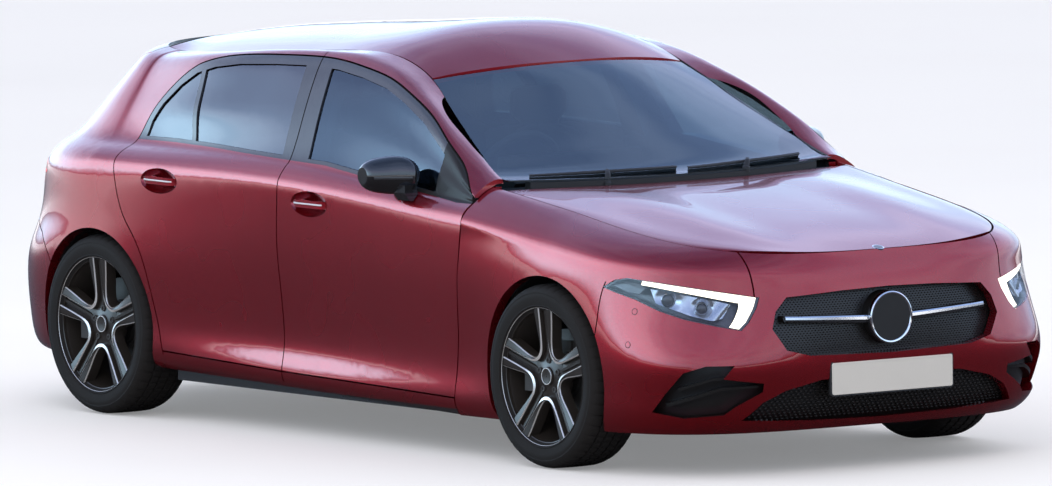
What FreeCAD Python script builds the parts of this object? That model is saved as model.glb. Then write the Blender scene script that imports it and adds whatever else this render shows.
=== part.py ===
import FreeCAD, Part
import math
import os

os.makedirs("parts", exist_ok=True)
V = FreeCAD.Vector

# Overall places along the car, with the ground at z = 0 and the middle of the car at x = 0
overall_length = 4419.0
wheelbase = 2729.0
front_overhang = 848.0
front_axle_x = overall_length / 2 - front_overhang
rear_axle_x = front_axle_x - wheelbase
front_track = 1567.0
rear_track = 1547.0

# Gaps and clearances
shut_gap = 5.5
glass_gap = 0.3
running_gap = 0.3

# Thicknesses
door_thickness = 75.0
frame_thickness = 45.0
panel_thickness = 40.0
lid_thickness = 22.0
glass_thickness = 4.0

# Wheels
tyre_radius = 322.0
tyre_width = 225.0
rim_radius = 236.0
rim_flange = 11.0
front_arch_radius = 352.0
rear_arch_radius = 347.0
front_arch_ahead = -2.0
rear_arch_ahead = 0.0


# Curves and surfaces
def smooth(table, x):
    """Smooth value at x from a table of (x, value) pairs, sorted by x."""
    if x <= table[0][0]:
        return table[0][1]
    if x >= table[-1][0]:
        return table[-1][1]
    last = len(table) - 1
    slopes = []
    for i in range(last + 1):
        low = max(i - 1, 0)
        high = min(i + 1, last)
        slopes.append((table[high][1] - table[low][1]) / (table[high][0] - table[low][0]))
    i = 0
    while x > table[i + 1][0]:
        i += 1
    span = table[i + 1][0] - table[i][0]
    t = (x - table[i][0]) / span
    return (table[i][1] * (1 + 2 * t) * (1 - t) ** 2 + slopes[i] * span * t * (1 - t) ** 2
            + table[i + 1][1] * t * t * (3 - 2 * t) + slopes[i + 1] * span * t * t * (t - 1))


def surface(grid):
    """Smooth surface through a grid of points."""
    across = [j / (len(grid[0]) - 1) for j in range(len(grid[0]))]
    along = [i / (len(grid) - 1) for i in range(len(grid))]
    rows = []
    for points in grid:
        curve = Part.BSplineCurve()
        curve.interpolate(Points=points, Parameters=across)
        rows.append(curve)
    poles = []
    for j in range(rows[0].NbPoles):
        column = Part.BSplineCurve()
        column.interpolate(Points=[row.getPole(j + 1) for row in rows], Parameters=along)
        poles.append(column.getPoles())
    result = Part.BSplineSurface()
    result.buildFromPolesMultsKnots(
        poles, rows[0].getMultiplicities(), column.getMultiplicities(),
        rows[0].getKnots(), column.getKnots(), False, False, 3, 3)
    return result


def slab(outer_grid, inner_grid):
    """Closed solid between two grids of points of the same size."""
    outer = surface(outer_grid)
    inner = surface(inner_grid)
    faces = [outer.toShape(), inner.toShape()]
    u0, u1, v0, v1 = outer.bounds()
    for a, b in ((outer.uIso(u0), inner.uIso(u0)), (outer.uIso(u1), inner.uIso(u1)),
                 (outer.vIso(v0), inner.vIso(v0)), (outer.vIso(v1), inner.vIso(v1))):
        faces.append(Part.makeRuledSurface(a.toShape(), b.toShape()))
    shell = Part.Shell(faces)
    shell.sewShape()
    solid = Part.Solid(shell)
    if solid.Volume < 0:
        solid.reverse()
    return solid


def curve_through(points):
    curve = Part.BSplineCurve()
    curve.interpolate(Points=points)
    return curve.toShape()


def outline_wire(points, curved=False):
    """Closed wire. With curved, one smooth curve passes through all points and a line closes it."""
    if curved:
        return Part.Wire([curve_through(points), Part.makeLine(points[-1], points[0])])
    return Part.makePolygon(points + [points[0]])


def along_y(points, y_low, y_high, curved=False):
    """Prism of a side-view outline of (x, z) points."""
    face = Part.Face(outline_wire([V(x, y_low, z) for x, z in points], curved))
    return face.extrude(V(0, y_high - y_low, 0))


def along_x(points, x_low, x_high, curved=False):
    """Prism of a front-view outline of (y, z) points."""
    face = Part.Face(outline_wire([V(x_low, y, z) for y, z in points], curved))
    return face.extrude(V(x_high - x_low, 0, 0))


def shifted(points, distance):
    """Line of 2-D points moved sideways to its left by a distance."""
    result = []
    for i, (a, b) in enumerate(points):
        a0, b0 = points[max(i - 1, 0)]
        a1, b1 = points[min(i + 1, len(points) - 1)]
        length = math.hypot(a1 - a0, b1 - b0)
        result.append((a - (b1 - b0) / length * distance, b + (a1 - a0) / length * distance))
    return result


def knife(points, place, width=shut_gap, curved=True):
    """Thin cutter along a line of 2-D points. place turns a 2-D point into a start point and a direction."""
    left = [place(p)[0] for p in shifted(points, width / 2)]
    right = [place(p)[0] for p in shifted(points, -width / 2)]
    direction = place(points[0])[1]
    if curved and len(points) > 2:
        sides = [curve_through(left), curve_through(right)]
    else:
        sides = [Part.makePolygon(left), Part.makePolygon(right)]
    ends = [Part.makeLine(left[0], right[0]), Part.makeLine(left[-1], right[-1])]
    edges = sides[0].Edges + sides[1].Edges + ends
    return Part.Face(Part.Wire(Part.__sortEdges__(edges))).extrude(direction)


def side_place(p):
    return V(p[0], -1000, p[1]), V(0, 640, 0)


def box(x0, x1, y0, y1, z0, z1):
    return Part.makeBox(x1 - x0, y1 - y0, z1 - z0, V(x0, y0, z0))


def mirrored(shape):
    return shape.mirror(V(0, 0, 0), V(0, 1, 0))


def fused(shapes):
    result = shapes[0].multiFuse(shapes[1:]) if len(shapes) > 1 else shapes[0]
    return result.removeSplitter()


def largest(shape):
    return sorted(shape.Solids, key=lambda s: s.Volume)[-1]


def nearest(shape, x, y, z):
    """The solid whose centre lies nearest to a point."""
    return sorted(shape.Solids, key=lambda s: s.CenterOfMass.distanceToPoint(V(x, y, z)))[0]


nodes = {}


def keep(name, shapes):
    nodes[name] = Part.makeCompound(shapes) if isinstance(shapes, list) else shapes


# Lines of the body, from the skirt up. Each has its end at the centre line as (x, z, exponent of the plan
# curve), and its places along the side as (x, half width, z)
nose_lines = [
    ((2105, 150, 3.6), [(800, 842, 146), (950, 842, 147), (front_axle_x, 852, 150)]),
    ((2168, 216, 3.85), [(800, 866, 212), (950, 866, 211), (front_axle_x, 874, 216)]),
    ((2197, 300, 3.85), [(800, 862, 300), (950, 864, 300), (front_axle_x, 882, 300)]),
    ((2209.5, 395, 3.85), [(800, 868, 430), (950, 870, 430), (front_axle_x, 888, 420)]),
    ((2207, 510, 3.3), [(800, 880, 570), (950, 881, 570), (front_axle_x, 890, 560)]),
    ((2195, 610, 3.05), [(800, 885, 705), (950, 885, 700), (front_axle_x, 886, 680)]),
    ((2180, 675, 3.1), [(800, 885, 806), (950, 883, 795), (front_axle_x, 878, 752)]),
    ((2168, 712, 3.2), [(800, 878, 858), (950, 873, 846), (front_axle_x, 862, 800)]),
    ((2158, 740, 3.3), [(800, 810, 922), (950, 808, 908), (front_axle_x, 812, 845)]),
    ((2150, 764, 3.5), [(800, 752, 956), (950, 742, 938), (front_axle_x, 725, 882)]),
]
tail_lines = [
    ((-2165, 205, 2.9), [(rear_axle_x, 840, 195), (-240, 830, 172), (870, 842, 147)]),
    ((-2185, 250, 2.9), [(rear_axle_x, 876, 252), (-240, 862, 230), (870, 866, 211)]),
    ((-2203, 340, 2.9), [(rear_axle_x, 885, 335), (-240, 853, 315), (870, 863, 300)]),
    ((-2209.5, 445, 2.9), [(rear_axle_x, 892, 450), (-240, 860, 440), (870, 869, 430)]),
    ((-2200, 560, 2.75), [(rear_axle_x, 898, 585), (-240, 873, 580), (870, 880, 570)]),
    ((-2160, 680, 2.5), [(rear_axle_x, 892, 715), (-240, 881, 715), (870, 885, 703)]),
    ((-2145, 800, 2.45), [(rear_axle_x, 884, 860), (-240, 884, 860), (870, 885, 802)]),
    ((-2120, 880, 2.45), [(rear_axle_x, 868, 925), (-240, 876, 917), (870, 877, 852)]),
    ((-2065, 945, 2.45), [(rear_axle_x, 820, 958), (-240, 846, 957), (870, 855, 878)]),
    ((-2012, 988, 2.45), [(rear_axle_x, 766, 990), (-240, 820, 988), (870, 832, 893)]),
]

# Side of the cabin above the belt: half width at the belt, and how fast it leans in towards the roof
belt_half_width = [(-1744, 690), (-1570, 740), (rear_axle_x, 780), (-1100, 812), (-600, 828),
                   (0, 830), (500, 826), (960, 810)]
lean_factor = [(-1600, 1.35), (rear_axle_x, 1.2), (-1000, 1.0), (960, 1.0)]


def cabin_side(x, z):
    rise = z - 950.0
    return smooth(belt_half_width, x) - smooth(lean_factor, x) * (0.40 * rise + 0.0004 * rise * rise)


# The foot of the roof rail, which is also the top of the doors from the windscreen back to the rear door
rail_foot = [(rear_axle_x, 1238), (-1000, 1278), (-551, 1316), (-170, 1321), (-4, 1303), (168, 1275),
             (316, 1232), (477, 1173), (615, 1102), (722, 1040), (810, 977), (874, 920)]
# Edge of the roof and windscreen, as (x, half width, z)
roof_edge = [(rear_axle_x, 482, 1278), (-1000, 505, 1302), (-551, 522, 1330), (-170, 530, 1351), (60, 534,
        1338),
             (248, 546, 1276), (460, 606, 1172), (700, 668, 1053), (870, 707, 970)]
roof_crown = [(-1810, 1278), (-1702, 1291), (-1338, 1347), (-900, 1384), (-550, 1408), (-100, 1440),
              (30, 1437), (130, 1412), (250, 1366), (350, 1314)]
rail_bulge = 13.0


def edge_at(x):
    """Half width and height of the roof edge at x."""
    return (smooth([(a, b) for a, b, c in roof_edge], x), smooth([(a, c) for a, b, c in roof_edge], x))


rail_stations = [870, 722, 600, 477, 316, 168, -4, -170, -551, -1000, rear_axle_x]
window_low = []
window_high = []
rail_low = []
rail_mid = []
rail_top = []
belt_line = tail_lines[9][1]
for x in rail_stations:
    belt_z = smooth([(a, c) for a, b, c in belt_line], x)
    foot_z = smooth(rail_foot, x)
    half, top_z = edge_at(x)
    foot_y = cabin_side(x, foot_z)
    for share, row in ((1 / 3, window_low), (2 / 3, window_high)):
        z = belt_z + (foot_z - belt_z) * share
        row.append((x, cabin_side(x, z), z))
    rail_low.append((x, foot_y, foot_z))
    length = math.hypot(foot_y - half, top_z - foot_z)
    rail_mid.append((x, (foot_y + half) / 2 + (top_z - foot_z) / length * rail_bulge,
                     (foot_z + top_z) / 2 + (foot_y - half) / length * rail_bulge))
    rail_top.append((x, half, top_z))
tail_lines += [((-1903, 1085, 2.4), window_low), ((-1805, 1175, 2.4), window_high), ((-1722, 1252, 2.4),
        rail_low),
               ((-1690, 1283, 2.5), rail_mid), ((-1650, 1300, 2.6), rail_top)]


def line_point(line, place):
    """Point of a body line on the right. place is ("end", share of the half width) or ("side", x)."""
    (end_x, end_z, exponent), side = line
    side = sorted(side)
    kind, value = place
    if kind == "side":
        return V(value, -smooth([(a, b) for a, b, c in side], value), smooth([(a, c) for a, b, c in side],
                                                                             value))
    axle = side[-1] if end_x > 0 else side[0]
    reach = end_x - axle[0]
    x = axle[0] + reach * (1 - value ** exponent) ** (1 / exponent)
    return V(x, -axle[1] * value, axle[2] + (end_z - axle[2]) * (x - axle[0]) / reach)


def body_columns(lines, side_stop, end_count, side_count):
    """Columns of the body surface: round the end, evenly spaced at mid height, and then along the side."""
    dense = [("end", math.sin(math.radians(a / 4))) for a in range(0, 361)]
    points = [line_point(lines[4], p) for p in dense]
    lengths = [0.0]
    for a, b in zip(points, points[1:]):
        lengths.append(lengths[-1] + (b - a).Length)
    result = []
    index = 0
    for k in range(end_count):
        while lengths[index] < lengths[-1] * k / end_count:
            index += 1
        result.append(dense[index])
    side = sorted(lines[4][1])
    start = side[-1][0] if lines[4][0][0] > 0 else side[0][0]
    for k in range(side_count + 1):
        result.append(("side", start + (side_stop - start) * k / side_count))
    return result


def body_slab(lines, columns, depths, drops, skin=0.0):
    """Slab of body between its surface, or a skin's depth inside it, and the given depths and drops."""
    rows = [[line_point(line, place) for place in columns] for line in lines]
    mid = rows[4]
    inward = []
    for j, p in enumerate(mid):
        step = mid[min(j + 1, len(mid) - 1)] - mid[max(j - 1, 0)]
        n = V(step.y, -step.x, 0)
        if j == 0:
            n = V(p.x, 0, 0)
        n.normalize()
        inward.append(n * -1 if n.dot(V(p.x, p.y, 0)) > 0 else n)
    outer = [[p + n * skin for p, n in zip(row, inward)] for row in rows]
    inner = [[p + n * depth - V(0, 0, drop) for p, n in zip(row, inward)]
             for row, depth, drop in zip(rows, depths, drops)]
    return slab(outer, inner)


nose_columns = body_columns(nose_lines, 800, 16, 6)
tail_columns = body_columns(tail_lines, 892, 16, 20)
nose_shell = body_slab(nose_lines, nose_columns, [panel_thickness] * 8 + [28, 4], [0] * 8 + [22, 42])
side_shell = body_slab(tail_lines, tail_columns, [door_thickness] * 9 + [60, frame_thickness,
                                                                         frame_thickness, 40, 18, 3],
                       [0] * 12 + [6, 13, 16])

# Shut lines on the side, as (x, z)
door_front_line = [(808, 207), (820, 300), (840, 432), (857, 644), (870, 715), (882, 810), (886, 870), (880,
        918)]
door_middle_line = [(-249, 190), (-240, 330), (-235, 478), (-240, 700), (-226, 930), (-228, 990), (-262,
        1170), (-296, 1345)]
sill_line = [(-965, 253), (-600, 241), (-240, 229), (300, 219), (900, 206)]
door_rear_line = [(-965, 240), (-985, 330), (-1020, 460), (-1068, 591), (-1113, 656), (-1172, 720), (-1206,
        778),
                  (-1230, 845), (-1245, 915), (-1240, 992)]
window_rear_line = [(-1240, 992), (-1218, 1066), (-1180, 1136), (-1108, 1209), (-1020, 1262)]
rail_line = [(-1020, 1262), (-914, 1290), (-767, 1309), (-551, 1321), (-360, 1327), (-170, 1323), (-4, 1305),
             (168, 1277), (316, 1234), (477, 1175), (615, 1104), (722, 1042), (810, 979), (880, 918), (906,
                     898)]
belt_trim_line = [(-1194, 1001), (-996, 1005), (-749, 1003), (-503, 996), (-258, 990), (-15, 984), (228,
        960), (710, 913),
                  (770, 907)]
frame_width = 32.0
front_pillar_trim = [(-112, 900), (-127, 1000), (-224, 1345)]
rear_pillar_trim = [(-276, 900), (-286, 1000), (-378, 1345)]
quarter_bar = [(-872, 1000), (-992, 1300)]
quarter_bar_width = 26.0
bumper_line = [(-1600, 470), (-1668, 560), (-1740, 628), (-1840, 665), (-2000, 674), (-2300, 674)]

# Tailgate outline on the right, as (half width, z)
tailgate_line = [(-540, 1420), (-530, 1300), (-555, 1230), (-625, 1060), (-655, 985), (-640, 930), (-590,
        880),
                 (-545, 800), (-520, 730), (-505, 660)]
tailgate_hinge_x = -1480.0
tail_lamp_outline = [(-812, 862), (-770, 893), (-640, 902), (-430, 886), (-350, 852), (-420, 812), (-560,
        790), (-700, 775),
                     (-790, 800)]
rear_window_outline = [(-560, 1035), (-480, 1218), (-300, 1246), (0, 1254), (300, 1246), (480, 1218), (560,
        1035),
                       (300, 1012), (0, 1005), (-300, 1012)]

# Wheel arches
front_arch = (front_axle_x + front_arch_ahead, front_arch_radius)
rear_arch = (rear_axle_x + rear_arch_ahead, rear_arch_radius)


def arch_disc(arch, radius, y_low=-1000.0, y_high=-500.0):
    disc = Part.Face(Part.Wire(Part.makeCircle(radius, V(arch[0], y_low, tyre_radius), V(0, 1, 0))))
    return disc.extrude(V(0, y_high - y_low, 0))


# Body side panels, from the one side shell cut along the shut lines
far = 3000.0
side_knives = [knife(door_middle_line, side_place), knife(sill_line, side_place, curved=False),
               knife(door_rear_line + window_rear_line[1:], side_place), knife(rail_line, side_place)]
front_edge = shifted(door_front_line, shut_gap / 2)
ahead_of_door = along_y(front_edge + [(1300, 918), (1300, 207)], -1000, -400)
side_open = side_shell.cut(arch_disc(rear_arch, rear_arch[1]))
pieces = side_open.cut(side_knives)
front_door = largest(nearest(pieces, 300, -811, 685).cut(ahead_of_door))
rear_door = nearest(pieces, -656, -807, 751)
side_rest = largest(pieces)
bumper_below = along_y(shifted(bumper_line, shut_gap / 2) + [(-2300, 100), (-1500, 100), (-1500, 470)],
                       -1000, 10)
bumper_above = along_y(shifted(bumper_line, -shut_gap / 2) + [(-2300, 1500), (1300, 1500), (1300, 100),
                                                              (-1500, 100), (-1500, 470)],
                       -1000, 10)
rear_bumper = largest(side_rest.common(bumper_below))
side_rest = largest(side_rest.common(bumper_above))
inside_tailgate = along_x(shifted(tailgate_line, shut_gap / 2) + [(10, 660), (10, 1420)], -2300,
                          tailgate_hinge_x - shut_gap)
outside_tailgate = along_x(shifted(tailgate_line, -shut_gap / 2) + [(10, 600), (10, 1500)], -2300,
                           tailgate_hinge_x)
tailgate = largest(side_rest.common(inside_tailgate))

# The tailgate is thin along its sides, so that it swings clear of the side frame
rebate_width = 36.0
rebate_shift = V(13, -14, -14)
rebate = tailgate.copy()
rebate.translate(rebate_shift)
core_line = shifted(tailgate_line, shut_gap / 2 + rebate_width)
rebate = rebate.cut(along_x(core_line + [(10, 660), (10, 1420)], -2400, tailgate_hinge_x + 100))
tailgate = largest(tailgate.cut(rebate))
side_frame = largest(side_rest.cut(outside_tailgate))


# Side windows: one opening per door between the belt and the frame, the rear one split by its quarter bar
window_top = shifted(window_rear_line[:-1] + rail_line, -frame_width)
window_band = along_y(belt_trim_line + window_top[1:-1][::-1], -1000, -400)


def beyond(line, side):
    """Large prism on the front (+1) or rear (-1) side of an upright line."""
    return along_y(line + [(line[-1][0] + side * far, line[-1][1]), (line[0][0] + side * far, line[0][1])],
                   -1000, -400)


def between(front, rear):
    return window_band.common(beyond(rear, 1)).common(beyond(front, -1))


mirror_post = [(660, 850), (655, 930), (640, 1350)]
quarter_front = [(x + quarter_bar_width / 2, z) for x, z in [(-830, 900)] + quarter_bar + [(-1000, 1345)]]
quarter_rear = [(x - quarter_bar_width, z) for x, z in quarter_front]
behind_all = [(-1400, 900), (-1401, 1345)]
front_opening = between(mirror_post, front_pillar_trim)
rear_opening = between(rear_pillar_trim, quarter_front)
quarter_opening = between(quarter_rear, behind_all)
front_door = largest(front_door.cut(front_opening))
rear_door = largest(rear_door.cut([rear_opening, quarter_opening]))

glass_skin = 7.0
glass_slab = body_slab(tail_lines[8:], tail_columns, [glass_skin + glass_thickness] * 7, [0] * 7, glass_skin)


def pane(opening):
    """Glass that fills an opening, a little clear of its edge all round."""
    c = opening.BoundBox.Center
    sx = 1 - 2 * glass_gap / opening.BoundBox.XLength
    sz = 1 - 2 * glass_gap / opening.BoundBox.ZLength
    m = FreeCAD.Matrix()
    m.scale(sx, 1, sz)
    small = opening.transformGeometry(m)
    small.translate(V(c.x - c.x * sx, 0, c.z - c.z * sz))
    return largest(glass_slab.common(small))


front_glass = pane(front_opening)
rear_glass = [pane(rear_opening), pane(quarter_opening)]

# Round lamps, handles and mirrors
handle_cups = [(-958, 862), (-34, 836)]
cup_length = 226.0
cup_height = 92.0
cup_depth = 30.0
handle_length = 196.0
handle_height = 26.0
handle_stand = 9.0


def ellipsoid(x, y, z, rx, ry, rz):
    ball = Part.makeSphere(1.0)
    m = FreeCAD.Matrix()
    m.scale(rx, ry, rz)
    ball = ball.transformGeometry(m)
    ball.translate(V(x, y, z))
    return ball


def side_skin(x, z):
    """Half width of the body surface at x and z, between the rear axle and the front door edge."""
    column = [line_point(line, ("side", x)) for line in tail_lines[:10]]
    return smooth([(p.z, -p.y) for p in column], z)


def with_handle(door, x, z):
    """Door with a dished cup, and a bar across it fused at both ends."""
    y = -side_skin(x, z)
    door = door.cut(ellipsoid(x, y - 4, z, cup_length / 2, cup_depth, cup_height / 2))
    profile = [(x - handle_length / 2, y + 26), (x - handle_length / 2 + 8, y - 1), (x - handle_length / 4,
            y - handle_stand),
               (x + handle_length / 4, y - handle_stand), (x + handle_length / 2 - 8, y - 1),
               (x + handle_length / 2, y + 26)]
    outer = curve_through([V(a, b, z - handle_height / 2) for a, b in profile])
    inner = curve_through([V(a, b, z - handle_height / 2) for a, b in
                           [(x + handle_length / 2 - 20, y + 26), (x, y + 4), (x - handle_length / 2 + 20,
                                                                               y + 26)]])
    ends = [Part.makeLine(outer.lastVertex().Point, inner.firstVertex().Point),
            Part.makeLine(inner.lastVertex().Point, outer.firstVertex().Point)]
    bar = Part.Face(Part.Wire([outer, ends[0], inner, ends[1]])).extrude(V(0, 0, handle_height))
    return largest(door.fuse(bar))


front_door = with_handle(front_door, *handle_cups[1])
rear_door = with_handle(rear_door, *handle_cups[0])

# Mirror with its arm, fixed to the front door
mirror_reach = 996.0
mirror_z = 972.0
mirror_outer_x = 452.0
mirror_inner_x = 526.0
mirror_foot_x = 548.0
mirror_width = 160.0
mirror_height = 132.0
mirror_depth = 128.0
foot_y = -side_skin(mirror_foot_x, 893.0)


def lofted(wires, ruled=False):
    solid = Part.makeLoft(wires, True, ruled)
    if solid.Volume < 0:
        solid.reverse()
    return solid


def oval(x, y, z, width, height):
    """Oval wire facing sideways at y."""
    m = FreeCAD.Matrix()
    m.scale(width / 2, 1, height / 2)
    ring = Part.makeCircle(1.0, V(0, 0, 0), V(0, 1, 0)).transformGeometry(m)
    ring.translate(V(x, y, z))
    return Part.Wire(ring.Edges)


mirror_inner_y = -mirror_reach + mirror_width
mirror_head = lofted([
    oval(mirror_outer_x, -mirror_reach, mirror_z, mirror_depth * 0.45, mirror_height * 0.46),
    oval(mirror_outer_x + 6, -mirror_reach + 20, mirror_z, mirror_depth * 0.74, mirror_height * 0.76),
    oval(mirror_outer_x + 24, -mirror_reach + 70, mirror_z, mirror_depth, mirror_height * 0.98),
    oval(mirror_inner_x - 8, mirror_inner_y - 40, mirror_z, mirror_depth, mirror_height),
    oval(mirror_inner_x, mirror_inner_y, mirror_z, mirror_depth * 0.8, mirror_height * 0.72)])
mirror_arm_width = 74.0
arm_front = mirror_foot_x + mirror_arm_width / 2
arm_clearance = 1.8
arm_foot = [(-side_skin(arm_front - mirror_arm_width, z) - arm_clearance, z) for z in range(884, 910, 3)]
arm_profile = arm_foot + [(mirror_inner_y - 22, 942), (foot_y - 46, 942), (foot_y - 46, 914), (foot_y - 26,
        886)]
arm_points = [V(arm_front, y, z) for y, z in arm_profile]
mirror_arm = Part.Face(Part.makePolygon(arm_points + arm_points[:1])).extrude(V(-mirror_arm_width, 0, 0))
mirror = largest(mirror_head.fuse(mirror_arm))


def nose_place(p):
    return V(1900, p[0], p[1]), V(400, 0, 0)


# Nose: wings, bumper, lamps and their openings
nose_view_yaw = -35.7
front_bumper_line = [(1664, 470), (1680, 540), (1690, 610), (1712, 675)]
bumper_top_line = [(-537, 590), (-532, 640), (-536, 700), (-546, 800)]


def nose_prism(points, curved=False, depth=1400.0):
    """Prism through the right front corner. Points are (across, z) as seen square to the corner."""
    yaw = math.radians(nose_view_yaw)
    across = V(-math.sin(yaw), math.cos(yaw), 0)
    along = V(math.cos(yaw), math.sin(yaw), 0)
    start = [across * a + along * 2600 + V(0, 0, z) for a, z in points]
    return Part.Face(outline_wire(start, curved)).extrude(along * -depth)


headlamp_outline = [(287, 656), (330, 684), (372, 692), (480, 680), (610, 662), (735, 642), (828, 626),
                    (818, 590), (790, 540),
                    (764, 514), (680, 530), (564, 555), (480, 582), (400, 618), (330, 640)]
side_intake = [(452, 232), (500, 300), (560, 372), (640, 396), (740, 396), (700, 350), (840, 330), (836,
        300), (740, 250),
               (700, 222), (560, 212)]
grille_opening = [(-347, 417), (-440, 440), (-486, 515), (-466, 575), (-420, 622), (-200, 634), (0, 638),
                  (200, 634),
                  (420, 622), (466, 575), (486, 515), (440, 440), (347, 417), (0, 408)]
lower_intake = [(-580, 200), (-520, 262), (-440, 300), (-300, 330), (0, 338), (300, 330), (440, 300), (520,
        262), (580, 200),
                (300, 186), (0, 180), (-300, 186)]
nose_open = nose_shell.cut(arch_disc(front_arch, front_arch[1]))
behind_line = shifted(door_front_line, -shut_gap / 2)
nose_open = nose_open.cut(along_y(behind_line[:-1] + [(897, 900), (898, 1000), (600, 1000), (600, 100),
                                                      (808, 100)], -1000, -400))
lamp_hole = nose_prism(headlamp_outline)
nose_open = nose_open.cut([lamp_hole, nose_prism(side_intake), along_x(grille_opening, 1900, 2300),
                           along_x(lower_intake, 1900, 2300)])
front_parts = nose_open.cut([knife(front_bumper_line, side_place), knife(bumper_top_line, nose_place)])
front_wing = nearest(front_parts, 1400, -850, 700)
front_bumper = nearest(front_parts, 2050, -450, 350)

# Bonnet: its edge follows the wings and the nose, with a crown over its middle
nose_edge = nose_lines[9]
bonnet_ridge_line = [(940, 946), (front_axle_x, 905), (1750, 849), (2000, 801), (2150, 764)]
bonnet_rear_x = 962.0
cowl_bow = 96.0
bonnet_ridge = 9.0
ridge_place = 0.62
ridge_spread = 0.10
nose_share = 0.79
bonnet_shares = (-1.0, -0.93, -0.8, -0.6, -0.4, -0.2, 0.0, 0.2, 0.4, 0.6, 0.8, 0.93, 1.0)


def end_at(line, x, low, high):
    """Half width and height on a body line at x, on the part that turns round the end of the car."""
    forward = 1 if line[0][0] > 0 else -1
    for _ in range(40):
        share = (low + high) / 2
        if forward * line_point(line, ("end", share)).x > forward * x:
            low = share
        else:
            high = share
    p = line_point(line, ("end", share))
    return -p.y, p.z


def bonnet_grid(gap, drop):
    """Rows of points from the windscreen to the nose, each across the whole bonnet."""
    corner = line_point(nose_edge, ("end", nose_share))
    rows = []
    count = 14
    for i in range(count + 1):
        t = i / count
        side_x = bonnet_rear_x + (corner.x - bonnet_rear_x) * t
        if side_x <= front_axle_x:
            p = line_point(nose_edge, ("side", side_x))
            half, edge_z = -p.y, p.z
        else:
            half, edge_z = end_at(nose_edge, side_x, nose_share, 1.0)
        row = []
        for s in bonnet_shares:
            a = abs(s)
            rear_x = bonnet_rear_x + cowl_bow * (1 - a ** 2.4)
            nose_x = line_point(nose_edge, ("end", nose_share * a)).x - gap
            x = rear_x + (nose_x - rear_x) * t
            bell = math.exp(-((a - ridge_place) / ridge_spread) ** 2)
            ridge = bonnet_ridge * bell * math.sin(math.pi * min(1.0, t * 1.05))
            centre_z = smooth(bonnet_ridge_line, x)
            z = centre_z + (edge_z - centre_z) * a ** 2.6 + ridge
            row.append(V(x, (half - gap) * s, z - drop))
        rows.append(row)
    return rows


bonnet = slab(bonnet_grid(shut_gap, 0), bonnet_grid(shut_gap + 4, lid_thickness))

# Roof, from the windscreen to the tailgate hinge
header_bow = 100.0
roof_front_x = 248.0
roof_gap = 5.0
roof_shares = (-1.0, -0.9, -0.75, -0.5, -0.25, 0.0, 0.25, 0.5, 0.75, 0.9, 1.0)


def roof_rows(front_x, rear_x, count, front_bow, rear_bow, gap, drop):
    rows = []
    for i in range(count + 1):
        t = i / count
        side_x = front_x + (rear_x - front_x) * t
        half, edge_z = edge_at(side_x) if side_x > rear_axle_x else end_at(tail_lines[-1], side_x, 0.0, 1.0)
        row = []
        for s in roof_shares:
            a = abs(s)
            x = side_x + (front_bow * (1 - t) ** 2 - rear_bow * t * t) * (1 - a * a)
            centre_z = smooth(roof_crown, x)
            side_z = smooth(roof_crown, side_x)
            z = centre_z - (side_z - edge_z) * a ** 2.2
            row.append(V(x, (half - gap) * s, z - drop))
        rows.append(row)
    return rows


roof = slab(roof_rows(roof_front_x - 3, tailgate_hinge_x + 3, 14, header_bow, 40, roof_gap, 0),
            roof_rows(roof_front_x - 3, tailgate_hinge_x + 3, 14, header_bow, 40, roof_gap + 4,
                      lid_thickness))

# Windscreen between the pillars, from the cowl to the roof
screen_base_x = 920.0
screen_base_bow = 124.0


def screen_grid(gap, depth):
    rows = []
    count = 8
    for i in range(count + 1):
        t = i / count
        side_x = screen_base_x + (roof_front_x + 4 - screen_base_x) * t
        half, edge_z = edge_at(side_x)
        row = []
        for s in roof_shares:
            a = abs(s)
            bow = screen_base_bow + (header_bow - screen_base_bow) * t
            x = side_x + bow * (1 - a ** 2)
            z = edge_z + (38 - 46 * (1 - t)) * (1 - a ** 2) - 2 - depth
            row.append(V(x, (half - gap) * s, z))
        rows.append(row)
    return rows


windscreen = slab(screen_grid(4, 0), screen_grid(4, glass_thickness + 1.5))

# Tailgate with its spoiler and window
spoiler_front_x = tailgate_hinge_x - shut_gap
spoiler_side_x = -1572.0
spoiler_front_half = 458.0
spoiler_side_half = 500.0
spoiler_reach = 228.0
spoiler_front_bow = 40.0
spoiler_front_thickness = 22.0
spoiler_edge_thickness = 12.0


def spoiler_grid(drop_front, drop_rear):
    rows = []
    for i in range(9):
        t = i / 8
        row = []
        for s in roof_shares:
            a = abs(s)
            front = spoiler_front_x - spoiler_front_bow * (1 - a * a)
            rear = spoiler_side_x - spoiler_reach * (1 - a ** 2.2)
            x = front + (rear - front) * t
            half = spoiler_front_half + (spoiler_side_half - spoiler_front_half) * t
            z = smooth(roof_crown, x) - (38 + 17 * t) * a ** 2.2
            row.append(V(x, half * s, z - drop_front - (drop_rear - drop_front) * t))
        rows.append(row)
    return rows


def through_tail(points, scale=1.0):
    """Prism through the tail of a (y, z) outline, scaled about its middle."""
    y = sum(p[0] for p in points) / len(points)
    z = sum(p[1] for p in points) / len(points)
    return along_x([(y + (a - y) * scale, z + (b - z) * scale) for a, b in points], -2300, -1500)


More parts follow.
